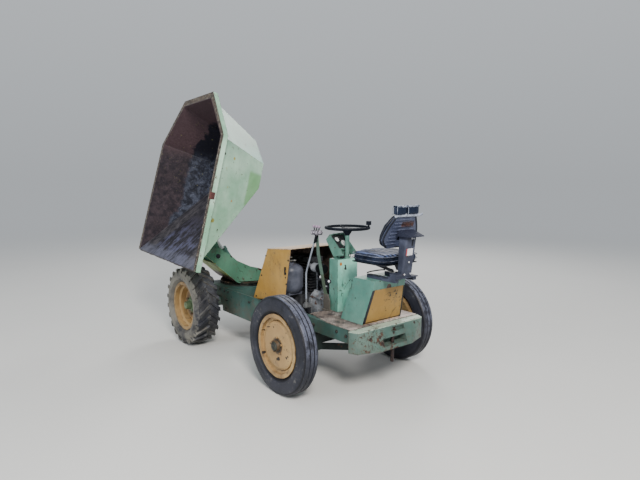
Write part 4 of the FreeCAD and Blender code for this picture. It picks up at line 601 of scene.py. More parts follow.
tyre_rear = rubber("tyre_rear_rubber", 0.25, (0.055, 0.056, 0.080), (0.100, 0.110, 0.155), REAR_WHEEL, 0.3535,
                   (REAR_TREAD[0] + 0.004, REAR_TREAD[1] - 0.004))
black_steel = plain_metal("black_steel", (0.006, 0.007, 0.010), (0.026, 0.028, 0.036), metal=0.1, shine=0.2)
tow_steel = plain_metal("tow_steel", (0.008, 0.006, 0.007), (0.030, 0.018, 0.016), scale=30.0, metal=0.1, rusty=0.58)
# Black for the slew ring: partly grease, partly painted shade under the arms.
grease_and_shade_steel = plain_metal("grease_and_shade_steel", (0.007, 0.009, 0.009), (0.030, 0.034, 0.030), metal=0.1, shine=0.2)
under_steel = plain_metal("under_steel", (0.005, 0.009, 0.009), (0.014, 0.023, 0.021), metal=0.1, shine=0.2)
cast_metal = plain_metal("cast_metal", (0.084, 0.092, 0.104), (0.260, 0.275, 0.300), scale=12.0, metal=0.2, rusty=0.57)
engine_metal = plain_metal("engine_metal", (0.014, 0.015, 0.018), (0.058, 0.060, 0.066), scale=14.0, metal=0.2, shine=0.2)
tank_paint = plain_metal("tank_paint", (0.044, 0.050, 0.070), (0.100, 0.107, 0.140), scale=8.0, metal=0.0, rough=0.42)
silver = plain_metal("silver", (0.30, 0.31, 0.34), (0.62, 0.63, 0.68), scale=40.0, metal=0.4)
# The air cleaner's rear end is painted near-black: painted shade.
cleaner_silver = plain_metal("cleaner_silver", (0.22, 0.23, 0.26), (0.42, 0.44, 0.48), metal=0.5,
                             shade_beyond=(Vector((-1, 0, 0)), machine(276, 0, 0), (0.006, 0.007, 0.009)))
# The chrome rod gets a white, non-metal colour that stands in for its bright reflection: painted reflection.
chrome = plain_metal("chrome", (0.88, 0.89, 0.90), (0.95, 0.95, 0.96), rough=0.30, metal=0.0, rusty=0.8, bump=0.0001, shine=0.8)
lever_grey = banded("lever_grey", [(0.0, (0.150, 0.156, 0.162)), (0.580, (0.280, 0.310, 0.370)), (1.048, BLACK)], metal=0.35)
spool_finish = banded("spool_finish", [(0.0, (0.085, 0.078, 0.068)), (0.650, (0.060, 0.085, 0.060)), (0.80, (0.085, 0.135, 0.110)),
                                       (1.111, (0.100, 0.096, 0.112)), (1.149, (0.012, 0.012, 0.016)),
                                       (1.167, (0.260, 0.190, 0.270))], metal=0.1)
seat_vinyl = vinyl("seat_vinyl", VINYL, VINYL_DUST_AND_SHEEN, dust_and_sheen_top=1.0, channels=(-0.021 - SHIFT.y, 0.0375), shine=0.08)
back_vinyl = vinyl("back_vinyl", VINYL, (0.030, 0.036, 0.060), dust_and_sheen_top=0.5)
seat_shell = vinyl("seat_shell", (0.038, 0.046, 0.084), (0.170, 0.195, 0.280), dust_and_sheen_top=0.9,
                   brown=(machine(0, -113, 1226), machine(0, 14, 1264)))
black_plastic = vinyl("black_plastic", BLACK, (0.022, 0.026, 0.042), dust_and_sheen_top=0.15, shine=0.04)
# The housing's cap, above the plane, is painted darker: painted shade.
housing_grey = plain_metal("housing_grey", (0.024, 0.028, 0.046), (0.052, 0.060, 0.094), scale=6.0, metal=0.0, rough=0.55,
                           shine=0.25, shade_beyond=(UP, machine(0, 0, 1146), (0.016, 0.019, 0.036)))

FINISHES = {
    skip: ["skip_side_left", "skip_side_right", "skip_floor", "skip_back"],
    chute: ["skip_chute"],
    rim: ["skip_rim"],
    green: ["instrument_box", "steering_column", "tip_ram_barrel"],
    grease_and_shade_steel: ["slew_ring"],
    green_column: ["column_box"],
    green_box: ["seat_box"],
    green_arm: ["skip_carrier", "skip_hinge"],
    green_frame_shade: ["frame_side_left", "frame_side_right", "front_platform", "rear_crossmember", "front_axle"],
    under_steel: ["rear_axle", "axle_brace_left", "axle_brace_right", "bonnet_bearer", "engine_bearer",
                  "knuckle_left", "knuckle_right"],
    green_weight: ["counterweight"],
    tan: ["bonnet_left", "bonnet_front"],
    tan_far: ["bonnet_right"],
    pale_top: ["bonnet_top"],
    tan_door: ["seat_box_door"],
    front_wheel: ["wheel_front_left", "wheel_front_right"],
    rear_wheel: ["wheel_rear_left", "wheel_rear_right"],
    deck: ["footplate"],
    tyre_front: ["tyre_front_left", "tyre_front_right"],
    tyre_rear: ["tyre_rear_left", "tyre_rear_right"],
    black_steel: ["track_rod", "skip_pivot_pin", "seat_pan"],
    tow_steel: ["tow_pin"],
    housing_grey: ["seat_base"],
    engine_metal: ["engine"],
    cast_metal: ["gearbox"],
    tank_paint: ["fuel_tank"],
    cleaner_silver: ["air_cleaner"],
    chrome: ["tip_ram_rod"],
    lever_grey: ["gear_lever"],
    spool_finish: ["spool_valve"],
    black_plastic: ["steering_wheel"],
    seat_shell: ["seat_back_shell"],
    seat_vinyl: ["seat_cushion", "seat_headrest"],
    back_vinyl: ["seat_back_pad"],
}
for material, names in FINISHES.items():
    for name in names:
        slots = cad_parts[name].material_slots
        slots[0].material = material


# Camera, floor and light

def aim(place, forward, right, up):
    turned = Matrix((right, up, -forward)).transposed()
    return Matrix.Translation(place) @ turned.to_4x4()


def make_camera():
    data = bpy.data.cameras.new("camera")
    data.lens = CAMERA_LENS
    data.sensor_width = SENSOR_WIDTH
    camera = bpy.data.objects.new("camera", data)
    bpy.context.scene.collection.objects.link(camera)
    flat = math.cos(CAMERA_PITCH)
    forward = Vector((math.cos(CAMERA_YAW) * flat, math.sin(CAMERA_YAW) * flat, math.sin(CAMERA_PITCH)))
    right = Vector((math.sin(CAMERA_YAW), -math.cos(CAMERA_YAW), 0.0))
    up = right.cross(forward)
    turned = Matrix.Rotation(-CAMERA_ROLL, 3, forward)
    camera.matrix_world = aim(CAMERA_PLACE, forward, turned @ right, turned @ up)
    bpy.context.scene.camera = camera


def make_light(name, place, target, size, power, colour):
    data = bpy.data.lights.new(name, "AREA")
    data.shape = "DISK"
    data.size = size
    data.energy = power
    data.color = colour
    lamp = bpy.data.objects.new(name, data)
    bpy.context.scene.collection.objects.link(lamp)
    forward = (Vector(target) - Vector(place)).normalized()
    right = forward.cross(UP).normalized()
    lamp.matrix_world = aim(Vector(place), forward, right, right.cross(forward))


def make_stage():
    mesh = bpy.data.meshes.new("floor")
    reach = 60.0
    mesh.from_pydata([(-reach, -reach, 0), (reach, -reach, 0), (reach, reach, 0), (-reach, reach, 0)], [],
                     [(0, 1, 2, 3)])
    floor = bpy.data.objects.new("floor", mesh)
    bpy.context.scene.collection.objects.link(floor)
    s = Shader("floor")
    s.finish(s.mix(s.noise(0.6), (0.56, 0.56, 0.55), (0.60, 0.60, 0.59)), 0.95, shine=0.1)
    # Far off the floor turns into the sky's own brightness, so that no horizon shows
    away = s.add("ShaderNodeVectorMath", {0: s.place}, operation="LENGTH").outputs["Value"]
    glow = s.add("ShaderNodeEmission", {"Color": SKY, "Strength": HORIZON}).outputs[0]
    blend = s.add("ShaderNodeMixShader", {0: s.step(away, 4.0, 15.0), 1: s.surface.outputs[0], 2: glow})
    s.tree.links.new(blend.outputs[0], s.output.inputs[0])
    mesh.materials.append(s.material)
    # The sky is as bright as the far floor at the horizon and brighter overhead
    world = bpy.data.worlds.new("soft_light")
    world.use_nodes = True
    tree = world.node_tree
    where = tree.nodes.new("ShaderNodeTexCoord")
    split = tree.nodes.new("ShaderNodeSeparateXYZ")
    ramp = tree.nodes.new("ShaderNodeMapRange")
    ramp.inputs["From Min"].default_value = 0.0
    ramp.inputs["From Max"].default_value = 0.75
    ramp.inputs["To Min"].default_value = HORIZON
    ramp.inputs["To Max"].default_value = 0.80
    tree.links.new(where.outputs["Generated"], split.inputs[0])
    tree.links.new(split.outputs[2], ramp.inputs["Value"])
    tree.links.new(ramp.outputs["Result"], tree.nodes["Background"].inputs[1])
    tree.nodes["Background"].inputs[0].default_value = SKY
    bpy.context.scene.world = world
    make_light("key", (-6.5, 3.2, 5.6), (-0.2, 0.0, 0.8), 2.2, 900, (1.0, 0.95, 0.88))
    make_light("fill", (-1.5, 6.5, 3.0), (0.0, 0.0, 0.9), 3.5, 190, (0.93, 0.97, 1.0))
    make_light("back", (4.0, -5.5, 5.5), (0.0, 0.0, 1.0), 3.0, 300, (1.0, 0.97, 0.93))


make_camera()
make_stage()


# Pieces

def dressed(name, mesh, material, body, smooth=True):
    """A new object with its finish, on its body."""
    piece = bpy.data.objects.new(name, mesh)
    bpy.context.scene.collection.objects.link(piece)
    mesh.materials.clear()
    mesh.materials.append(material)
    if smooth:
        mesh.polygons.foreach_set("use_smooth", [True] * len(mesh.polygons))
    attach(piece, body)
    return piece


def as_mesh(name, maker):
    """A mesh filled by a function of its bmesh."""
    builder = bmesh.new()
    maker(builder)
    bmesh.ops.recalc_face_normals(builder, faces=builder.faces)
    mesh = bpy.data.meshes.new(name)
    builder.to_mesh(mesh)
    builder.free()
    return mesh


def bridge(builder, rings, closed=True, caps=True):
    """Faces between rings of as many vertices each, and over the two ends."""
    made = [[builder.verts.new(point) for point in ring] for ring in rings]
    for near, far in zip(made, made[1:]):
        count = len(near)
        for i in range(count if closed else count - 1):
            j = (i + 1) % count
            builder.faces.new((near[i], near[j], far[j], far[i]))
    if caps:
        builder.faces.new(list(reversed(made[0])))
        builder.faces.new(made[-1])
    return made


def curved(points, steps=6):
    """Points on a smooth line through the given ones."""
    points = [Vector(p) for p in points]
    ends = [2 * points[0] - points[1]] + points + [2 * points[-1] - points[-2]]
    line = []
    for i in range(len(points) - 1):
        a, b, c, d = ends[i:i + 4]
        for k in range(steps):
            t = k / steps
            line.append(0.5 * ((2 * b) + (c - a) * t + (2 * a - 5 * b + 4 * c - d) * t * t
                               + (3 * b - a - 3 * c + d) * t ** 3))
    return line + [points[-1]]


def add_tube(builder, line, radius, sides=10, wide=1.0, side_axis=None):
    """A tube along a line, or a flat band where wide is above 1 in the direction of side_axis."""
    rings = []
    for i, point in enumerate(line):
        ahead = (line[min(i + 1, len(line) - 1)] - line[max(i - 1, 0)]).normalized()
        guide = side_axis or (UP if abs(ahead.z) < 0.9 else Vector((1, 0, 0)))
        across = (guide - ahead * guide.dot(ahead)).normalized()
        over = ahead.cross(across)
        r = radius(i / (len(line) - 1)) if callable(radius) else radius
        rings.append([point + across * (r * wide * math.cos(a)) + over * (r * math.sin(a))
                      for a in (2 * math.pi * k / sides for k in range(sides))])
    bridge(builder, rings)


def add_bolt(builder, place, axis, size, turn=0.0):
    """A washer and a domed six-sided head on a surface that faces axis."""
    axis = Vector(axis).normalized()
    guide = UP if abs(axis.z) < 0.9 else Vector((1, 0, 0))
    right = axis.cross(guide).normalized()
    up = right.cross(axis)
    place = Vector(place)

    def ring(radius, height, sides, start=0.0):
        return [place + axis * height + right * (radius * math.cos(a)) + up * (radius * math.sin(a))
                for a in (start + 2 * math.pi * k / sides for k in range(sides))]
    bridge(builder, [ring(size * 1.35, -0.0005, 16), ring(size * 1.35, size * 0.2, 16), ring(size * 1.2, size * 0.28, 16)])
    bridge(builder, [ring(size, size * 0.1, 6, turn), ring(size, size * 0.8, 6, turn), ring(size * 0.8, size * 0.98, 6, turn)])


def add_block(builder, low, high, bevel=0.002):
    """A block with rounded edges."""
    low, high = Vector(low), Vector(high)
    corners = [builder.verts.new((x, y, z)) for z in (low.z, high.z)
               for x, y in ((low.x, low.y), (high.x, low.y), (high.x, high.y), (low.x, high.y))]
    faces = [(3, 2, 1, 0), (4, 5, 6, 7), (0, 1, 5, 4), (1, 2, 6, 5), (2, 3, 7, 6), (3, 0, 4, 7)]
    made = [builder.faces.new([corners[i] for i in face]) for face in faces]
    edges = {edge for face in made for edge in face.edges}
    bmesh.ops.bevel(builder, geom=list(edges), offset=bevel, segments=2, affect="EDGES", profile=0.6)


def inflated(name, mesh, voxel, pressure, cap, floor=None):
    """A padded form: remeshed, blown up by cloth pressure with a capped move, and smoothed once."""
    work = bpy.data.objects.new(name + "_work", mesh)
    scene = bpy.context.scene
    scene.collection.objects.link(work)
    remesh = work.modifiers.new("remesh", "REMESH")
    remesh.mode = "VOXEL"
    remesh.voxel_size = voxel
    graph = bpy.context.evaluated_depsgraph_get()
    base = bpy.data.meshes.new_from_object(work.evaluated_get(graph))
    work.modifiers.clear()
    work.data = base
    cloth = work.modifiers.new("puff", "CLOTH")
    cloth.settings.use_pressure = True
    cloth.settings.uniform_pressure_force = pressure
    cloth.settings.effector_weights.gravity = 0.0
    cloth.point_cache.frame_start = 1
    cloth.point_cache.frame_end = 20
    rest = [vertex.co.copy() for vertex in base.vertices]
    for step in range(1, 21):
        scene.frame_set(step)
    graph = bpy.context.evaluated_depsgraph_get()
    blown = work.evaluated_get(graph).data
    moved = [vertex.co.copy() for vertex in blown.vertices]
    scene.frame_set(1)
    work.modifiers.clear()
    for vertex, start, end in zip(base.vertices, rest, moved):
        step = end - start
        if step.length > cap:
            step = step.normalized() * cap
        vertex.co = start + step
    smooth = work.modifiers.new("smooth", "SUBSURF")
    smooth.levels = 1
    graph = bpy.context.evaluated_depsgraph_get()
    done = bpy.data.meshes.new_from_object(work.evaluated_get(graph))
    bpy.data.objects.remove(work)
    if floor is not None:
        for vertex in done.vertices:
            vertex.co.z = max(vertex.co.z, floor)
    done.name = name
    return done


def pressed(mesh, mover):
    """Moves each vertex by what a function of its place and normal says."""
    mesh.update()
    moves = [mover(vertex.co, vertex.normal) for vertex in mesh.vertices]
    for vertex, move in zip(mesh.vertices, moves):
        vertex.co += move


def groove(distance, width, depth):
    """How deep a sewn line draws the cloth in at this distance from it."""
    return -depth * math.exp(-(distance / width) ** 2)


# Seat cushion

SEAT_MIDDLE = -0.021 - SHIFT.y
CUSHION_PLAN = [(-574, 116), (-559, 174), (-500, 200), (-400, 202), (-330, 198), (-266, 184), (-229, 149), (-209, 94)]


def cushion_ring(z, inset, lift=0.0):
    middle_x = (CUSHION_PLAN[0][0] + CUSHION_PLAN[-1][0]) / 2
    shrink_x = 1 - inset / 180.0
    ring = []
    for sign, rows in ((1, CUSHION_PLAN), (-1, list(reversed(CUSHION_PLAN)))):
        for x, half in rows:
            ring.append(Vector(((middle_x + (x - middle_x) * shrink_x) / 1000 - SHIFT.x,
                                SEAT_MIDDLE + sign * (half - inset) / 1000, z / 1000)))
    return ring


def make_cushion():
    levels = [(967, 16), (971, 5), (982, 0), (1000, 0), (1018, 2), (1026, 12), (1030, 40), (1031, 80)]
    mesh = as_mesh("cushion_base", lambda b: bridge(b, [cushion_ring(z, inset) for z, inset in levels]))
    mesh = inflated("cushion", mesh, 0.006, 4.0, 0.008, floor=0.9665)
    top = 1.006

    def move(place, normal):
        if normal.z < 0.25 or place.z < top:
            return Vector()
        x = place.x + SHIFT.x
        y = place.y - SEAT_MIDDLE
        half = 0.150
        front = -0.262
        # The sewn line between the bolster and the middle panel
        border = abs(abs(y) - half) if x < front + 0.02 else 1.0
        nose = abs(x - front) if abs(y) < half + 0.01 else 1.0
        depth = groove(min(border, nose), 0.0045, 0.0065)
        if abs(y) < half - 0.006 and x < front - 0.006:
            pitch = 0.0375
            away = abs((y / pitch + 0.5) % 1.0 - 0.5) * pitch
            depth += groove(away, 0.0038, 0.0050)
        # Hollowed by years of use, with a few creases
        bowl = math.exp(-((x + 0.44) / 0.11) ** 2 - (y / 0.13) ** 2)
        crease = 0.0016 * noise.noise(Vector((x * 9, y * 55, 2.0)))
        return Vector((0, 0, depth - 0.007 * bowl + crease))
    pressed(mesh, move)
    piece = dressed("cushion", mesh, seat_vinyl, "chassis")
    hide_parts("seat_cushion")
    return piece


def loop_line(ring):
    points = [Vector(point) for point in ring]
    return curved(points + points[:1], 5)


def make_cushion_piping():
    def build(builder):
        for z, inset, radius in ((1021, 1.5, 0.0030), (992, -0.5, 0.0022)):
            add_tube(builder, loop_line(cushion_ring(z, inset)), radius, 8)
    dressed("cushion_piping", as_mesh("cushion_piping", build), welt, "chassis")


def shell_front(z):
    return -0.505 - 0.099 * (z - 1.042) / 0.276


BACK_ROWS = [(0.0, 104), (0.05, 130), (0.12, 155), (0.25, 171), (0.40, 175), (0.55, 172), (0.72, 158), (0.86, 133), (0.95, 112),
             (1.0, 96)]
BACK_MIDDLE = -0.0105 - SHIFT.y


def back_ring(inset, forward):
    ring = []
    for sign, rows in ((1, BACK_ROWS), (-1, list(reversed(BACK_ROWS)))):
        for share, half in rows:
            share = 0.5 + (share - 0.5) * (1 - inset / 118.0)
            z = 1.080 + 0.232 * share
            ring.append(Vector((shell_front(z) - SHIFT.x + forward, BACK_MIDDLE + sign * (half - inset) / 1000, z)))
    return ring


def make_back_pad():
    levels = [(6, 0.0010), (1, 0.006), (0, 0.018), (2, 0.028), (9, 0.034), (30, 0.0365), (60, 0.037)]
    mesh = as_mesh("back_base", lambda b: bridge(b, [back_ring(inset, forward) for inset, forward in levels]))
    mesh = inflated("back_pad", mesh, 0.006, 4.0, 0.006)

    def move(place, normal):
        surface = shell_front(place.z) - SHIFT.x
        if place.x < surface + 0.001:
            return Vector((surface + 0.001 - place.x, 0, 0))
        if normal.x < 0.3:
            return Vector()
        y = place.y - BACK_MIDDLE
        half = 0.125
        depth = groove(abs(abs(y) - half), 0.0045, 0.006)
        if abs(y) < half:
            away = abs((place.z / 0.034 + 0.3) % 1.0 - 0.5) * 0.034
            depth += groove(away, 0.0036, 0.0045)
        # Hollow across, as such backs are
        hollow = -0.010 * math.exp(-(y / 0.10) ** 2)
        return Vector((depth + hollow, 0, 0))
    pressed(mesh, move)
    piece = dressed("back_pad", mesh, back_vinyl, "chassis")
    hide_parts("seat_back_pad")


def make_headrest():
    front, rear = -0.604, -0.633
    z0, z1 = 1.3168, 1.3735

    def build(builder):
        for y0, y1 in ((-0.1235, -0.0065), (0.0045, 0.1160)):
            rings = []
            for share, inset in ((0.0, 0.006), (0.12, 0.001), (0.5, 0.0), (0.88, 0.001), (1.0, 0.006)):
                y = y0 + (y1 - y0) * share - SHIFT.y
                rings.append([Vector((rear + inset - SHIFT.x, y, z0 + inset)), Vector((front - inset - SHIFT.x, y, z0 + inset)),
                              Vector((front - inset - SHIFT.x, y, z1 - inset)), Vector((rear + inset - SHIFT.x, y, z1 - inset))])
            bridge(builder, rings)
    mesh = inflated("headrest", as_mesh("headrest_base", build), 0.004, 4.0, 0.005, floor=1.3163)
    piece = dressed("headrest", mesh, headrest_cloth, "chassis")
    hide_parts("seat_headrest")

    def straps(builder):
        middle_x = (front + rear) / 2 - SHIFT.x
        reach = (front - rear) / 2 + 0.006
        for y in (-0.001 - SHIFT.y, 0.110 - SHIFT.y):
            line = [Vector((middle_x - reach, y, z0 + 0.001)), Vector((middle_x - reach, y, z1 - 0.002)),
                    Vector((middle_x - reach + 0.008, y, z1 + 0.0055)), Vector((middle_x + reach - 0.008, y, z1 + 0.0055)),
                    Vector((middle_x + reach, y, z1 - 0.002)), Vector((middle_x + reach, y, z0 + 0.001))]
            add_tube(builder, curved(line, 4), 0.0013, 8, wide=2.6, side_axis=Vector((0, 1, 0)))
        # A folded light cloth over the top
        rings = []
        for k in range(25):
            y = 0.112 - 0.232 * k / 24 - SHIFT.y
            wave = 0.0018 * math.sin(k * 1.7) + 0.0012 * math.sin(k * 0.6)
            ring = []
            for a in range(9):
                angle = math.pi * a / 8
                ring.append(Vector((middle_x - (reach - 0.001) * math.cos(angle), y,
                                    z1 - 0.006 + 0.0105 * math.sin(angle) ** 0.6 + wave)))
            for a in range(9):
                angle = math.pi * (8 - a) / 8
                ring.append(Vector((middle_x - (reach - 0.0022) * math.cos(angle), y,
                                    z1 - 0.0072 + 0.0105 * math.sin(angle) ** 0.6 + wave)))
            rings.append(ring)
        bridge(builder, rings)
    dressed("headrest_straps", as_mesh("headrest_straps", straps), pale_strap, "chassis")


def make_back_trim():
    """The shell's rolled top edge, turned up at its right end."""
    def build(builder):
        points = []
        for y, z in ((0.104, 1.300), (0.085, 1.307), (0.0, 1.3085), (-0.09, 1.3075), (-0.140, 1.3065), (-0.158, 1.309),
                     (-0.170, 1.313)):
            points.append(Vector((shell_front(z) - 0.017 - SHIFT.x, y - SHIFT.y, z)))
        line = curved(points, 5)
        add_tube(builder, line, 0.0054, 10, wide=2.0, side_axis=Vector((-0.34, 0, 0.94)))
    dressed("back_trim", as_mesh("back_trim", build), back_strip, "chassis")

    def wrap(builder):
        # The pad's cloth, wrapped round both sides of the shell
        for sign in (1, -1):
            side = []
            for share, half in ((0.93, 100), (0.80, 118), (0.62, 142), (0.45, 158), (0.28, 164), (0.14, 146), (0.04, 116)):
                z = 1.078 + 0.238 * share
                side.append(Vector((shell_front(z) - 0.0125 - SHIFT.x, BACK_MIDDLE + sign * half / 1000, z)))
            add_tube(builder, curved(side, 5), 0.0050, 10, wide=1.8, side_axis=Vector((0, 1, 0)))
    dressed("back_wrap", as_mesh("back_wrap", wrap), back_vinyl, "chassis")


def make_housing_details():
    """A blank plate, the slot and bolts at the top, and the rail catches."""
    def rear_face(z):
        return -0.622 - 0.040 * (z - 0.879) / 0.286 - SHIFT.x

    def on_rear(y, z, out):
        return Vector((rear_face(z) - out, y - SHIFT.y, z))

    def plate(builder, y0, y1, z0, z1, thick, inner=0.0):
        rings = []
        for out, inset in ((inner, 0.0), (thick - 0.0004, 0.0), (thick, 0.0006)):
            rings.append([on_rear(y0 + inset, z0 + inset, out), on_rear(y1 - inset, z0 + inset, out),
                          on_rear(y1 - inset, z1 - inset, out), on_rear(y0 + inset, z1 - inset, out)])
        bridge(builder, rings)
    dressed("blank_plate", as_mesh("blank_plate", lambda b: plate(b, -0.044, 0.012, 1.034, 1.082, 0.0016, 0.0002)),
            label_white, "chassis", smooth=False)
    dressed("blank_plate_band", as_mesh("blank_plate_band", lambda b: plate(b, 0.0123, 0.0225, 1.034, 1.082, 0.0016, 0.0002)),
            label_red, "chassis", smooth=False)
    dressed("housing_slot", as_mesh("housing_slot", lambda b: plate(b, -0.038, -0.024, 1.098, 1.140, 0.0012, 0.0002)),
            black_steel, "chassis", smooth=False)

    def bolts(builder):
        for y, z in ((-0.020, 1.154), (-0.040, 1.154), (0.010, 0.900), (-0.052, 0.900), (-0.020, 0.985)):
            add_bolt(builder, on_rear(y, z, 0), (-1, 0, 0.14), 0.0055, 0.3)
    dressed("housing_bolts", as_mesh("housing_bolts", bolts), silver, "chassis")

    def catches(builder):
        for y in (0.089, -0.131):
            for x0, x1, rise in ((-0.40, -0.345, 0.004), (-0.47, -0.42, 0.006), (-0.55, -0.49, 0.004)):
                add_block(builder, (x0 - SHIFT.x, y - 0.009 - SHIFT.y, 0.8712), (x1 - SHIFT.x, y + 0.009 - SHIFT.y, 0.8712 + rise))
        line = [machine(-325, -110, 878), machine(-318, -60, 880), machine(-318, 30, 880), machine(-330, 80, 878)]
        add_tube(builder, curved(line, 5), 0.005, 8)
    dressed("rail_catches", as_mesh("rail_catches", catches), black_steel, "chassis")


# Controls

def make_dials():
    """Faces, bezels and needles on the instrument box's sunk panel, and its wires."""
    low, top = Vector((0.012, 0, 1.008)), Vector((0.097, 0, 1.122))
    along = (top - low).normalized()
    inward = Vector((along.z, 0, -along.x))
    corner = low + along * 0.008
    length = (top - low).length - 0.016

    def disc(builder, centre, radius, out, thick, sides=40):
        rings = []
        for height, r in ((0.0, radius), (thick, radius), (thick, radius * 0.97)):
            rings.append([centre - inward * (out + height) + along * (r * math.cos(a)) + Vector((0, r * math.sin(a), 0))
                          for a in (2 * math.pi * k / sides for k in range(sides))])
        bridge(builder, rings)
    dials = []
    for y, share, radius in ((30, 0.66, 24), (-24, 0.36, 30)):
        centre = corner + inward * 0.001 + along * (length * share) + Vector((0, y / 1000, 0)) - SHIFT
        dials.append((centre, radius / 1000))

    def faces(builder):
        for centre, radius in dials:
            disc(builder, centre, radius * 0.84, 0.0002, 0.0006)

    def bezels(builder):
        for centre, radius in dials:
            line = [centre - inward * 0.0012 + along * (radius * 0.92 * math.cos(a)) + Vector((0, radius * 0.92 * math.sin(a), 0))
                    for a in (2 * math.pi * k / 40 for k in range(41))]
            add_tube(builder, line, 0.0022, 8)
            tip = centre - inward * 0.0018 + (along * 0.8 + Vector((0, 0.6, 0))) * radius * 0.62
            add_tube(builder, [centre - inward * 0.0018, tip], 0.0006, 6)
            for k in range(11):
                a = math.radians(-130 + 26 * k)
                direction = along * math.cos(a) + Vector((0, math.sin(a), 0))
                add_tube(builder, [centre - inward * 0.0009 + direction * radius * 0.66,
                                   centre - inward * 0.0009 + direction * radius * 0.80], 0.0005, 5)
    dressed("dial_faces", as_mesh("dial_faces", faces), dial_white, "chassis", smooth=False)
    dressed("dial_bezels", as_mesh("dial_bezels", bezels), black_steel, "chassis")

    def panel(builder):
        rings = []
        for out in (-0.0075, -0.0068):
            rings.append([corner + along * a - inward * out + Vector((0, y, 0)) - SHIFT
                          for a, y in ((0.002, -0.062), (length - 0.002, -0.062), (length - 0.002, 0.070), (0.002, 0.070))])
        bridge(builder, rings)
    dressed("dial_panel", as_mesh("dial_panel", panel), panel_black, "chassis", smooth=False)

    def wires(builder):
        starts = [(-34, 968, 50), (-20, 960, 20), (-44, 975, -10), (-30, 964, -40)]
        for k, (x, z, y) in enumerate(starts):
            line = [machine(20, y * 0.6, 1000), machine(-2 - 4 * k, y * 0.8, 985), machine(x + 14, y, z - 8),
                    machine(x * 0.4, y * 0.9, 939)]
            add_tube(builder, curved(line, 6), 0.0028, 8)
        for k in range(3):
            y = -46 + 34 * k
            add_block(builder, machine(-8, y, 936.2), machine(14, y + 20, 948 + 3 * k))
    dressed("column_wires", as_mesh("column_wires", wires), black_steel, "chassis")

    def lid(builder):
        rings = []
        for lift in (0.0, 0.0022):
            rings.append([machine(x, y, z + lift * 1000) for x, y, z in
                          ((94, -66, 1122.6), (92, 60, 1122.6), (60, 66, 1131), (54, -58, 1133))])
        bridge(builder, rings)
    dressed("panel_hood", as_mesh("panel_hood", lid), pale_green, "chassis", smooth=False)


def make_levers():
    """Linkage rods and knobs by the gearbox, the throttle bar and the caps on the valve."""
    def black(builder):
        add_tube(builder, curved([machine(214, 8, 672), machine(216, 20, 712), machine(238, 44, 752), machine(262, 60, 762)], 6), 0.006, 10)
        add_tube(builder, curved([machine(214, 8, 668), machine(190, 40, 664), machine(160, 70, 656), machine(146, 84, 650)], 6), 0.0075, 10)
        add_tube(builder, curved([machine(262, 60, 700), machine(230, 66, 690), machine(190, 70, 668)], 6), 0.005, 10)
        add_tube(builder, curved([machine(206, 112, 748), machine(160, 100, 752), machine(112, 92, 752), machine(66, 92, 754)], 6), 0.010, 12)
        add_tube(builder, curved([machine(112, 92, 752), machine(106, 86, 700), machine(112, 80, 642)], 6), 0.008, 10)
        for x, y, z, r in ((262, 60, 764, 0.011), (64, 92, 754, 0.020)):
            middle = machine(x, y, z)
            rings = []
            for k in range(1, 8):
                a = math.pi * k / 8
                rings.append([middle + Vector((r * math.sin(a) * math.cos(b), r * math.sin(a) * math.sin(b), r * math.cos(a)))
                              for b in (2 * math.pi * j / 16 for j in range(16))])
            bridge(builder, rings)
    dressed("linkage", as_mesh("linkage", black), black_steel, "chassis")

    def caps(builder):
        for x, y, z, axis in ((146, 84, 650, (0, 1, 0.3)), (215, 8, 674, (0, 0.3, 1)), (240, 50, 756, (-0.4, 0.5, 0.6))):
            add_bolt(builder, machine(x, y, z), axis, 0.010)
        add_bolt(builder, machine(64, 112, 754), (0, 1, 0), 0.008)
    dressed("linkage_caps", as_mesh("linkage_caps", caps), label_white, "chassis")

    def fittings(builder):
        for x in (178, 206, 234):
            add_bolt(builder, machine(x, 148, 1130), (0, 1, 0), 0.011)
            add_bolt(builder, machine(x, 100, 1130), (0, -1, 0), 0.011)
        add_bolt(builder, machine(164, 124, 1132), (-1, 0, 0), 0.012)
        add_bolt(builder, machine(248, 124, 1132), (1, 0, 0), 0.012)
    dressed("valve_fittings", as_mesh("valve_fittings", fittings), fitting_metal, "chassis")

    def gaiter(builder):
        rings = []
        for k in range(15):
            share = k / 14
            radius = 0.0075 + 0.0075 * share + 0.0022 * math.cos(k * math.pi)
            centre = machine(202 - 3 * share, 130, 1058 + 52 * share)
            rings.append([centre + Vector((radius * math.cos(a), radius * math.sin(a), 0)) for a in
                          (2 * math.pi * j / 16 for j in range(16))])
        bridge(builder, rings)
    dressed("valve_gaiter", as_mesh("valve_gaiter", gaiter), black_steel, "chassis")


def make_bolts():
    """Fastenings on the frame, the slew ring and the bonnet."""
    def frame_bolts(builder):
        for sign in (1, -1):
            face = machine(0, sign * 345, 0).y
            for x, z in ((1262, 490), (1330, 492), (1420, 492), (1560, 492), (1650, 492), (1300, 330), (1290, 410),
                         (560, 316), (600, 316), (885, 464), (40, 470), (-40, 470), (-300, 480), (-400, 470)):
                place = machine(x, 0, z)
                add_bolt(builder, (place.x, face, place.z), (0, sign, 0), 0.0095, 0.2 * x)
    dressed("frame_bolts", as_mesh("frame_bolts", frame_bolts), bolt_dark, "chassis")

    def ring_bolts(builder):
        for k in range(24):
            a = 2 * math.pi * k / 24
            add_bolt(builder, machine(1489 + 255 * math.cos(a), 255 * math.sin(a), 530), UP, 0.009, 0.4 * k)
    dressed("ring_bolts", as_mesh("ring_bolts", ring_bolts), bolt_dark, "chassis")

    def sheet_bolts(builder):
        for sign in (1, -1):
            face = machine(0, sign * 290, 0).y
            for x, z in ((850, 520), (760, 720), (690, 900), (420, 600), (392, 700), (364, 900)):
                place = machine(x, 0, z)
                add_bolt(builder, (place.x, face, place.z), (0, sign, 0), 0.006, 0.3 * x)
    dressed("bonnet_bolts", as_mesh("bonnet_bolts", sheet_bolts), bolt_dark, "chassis")


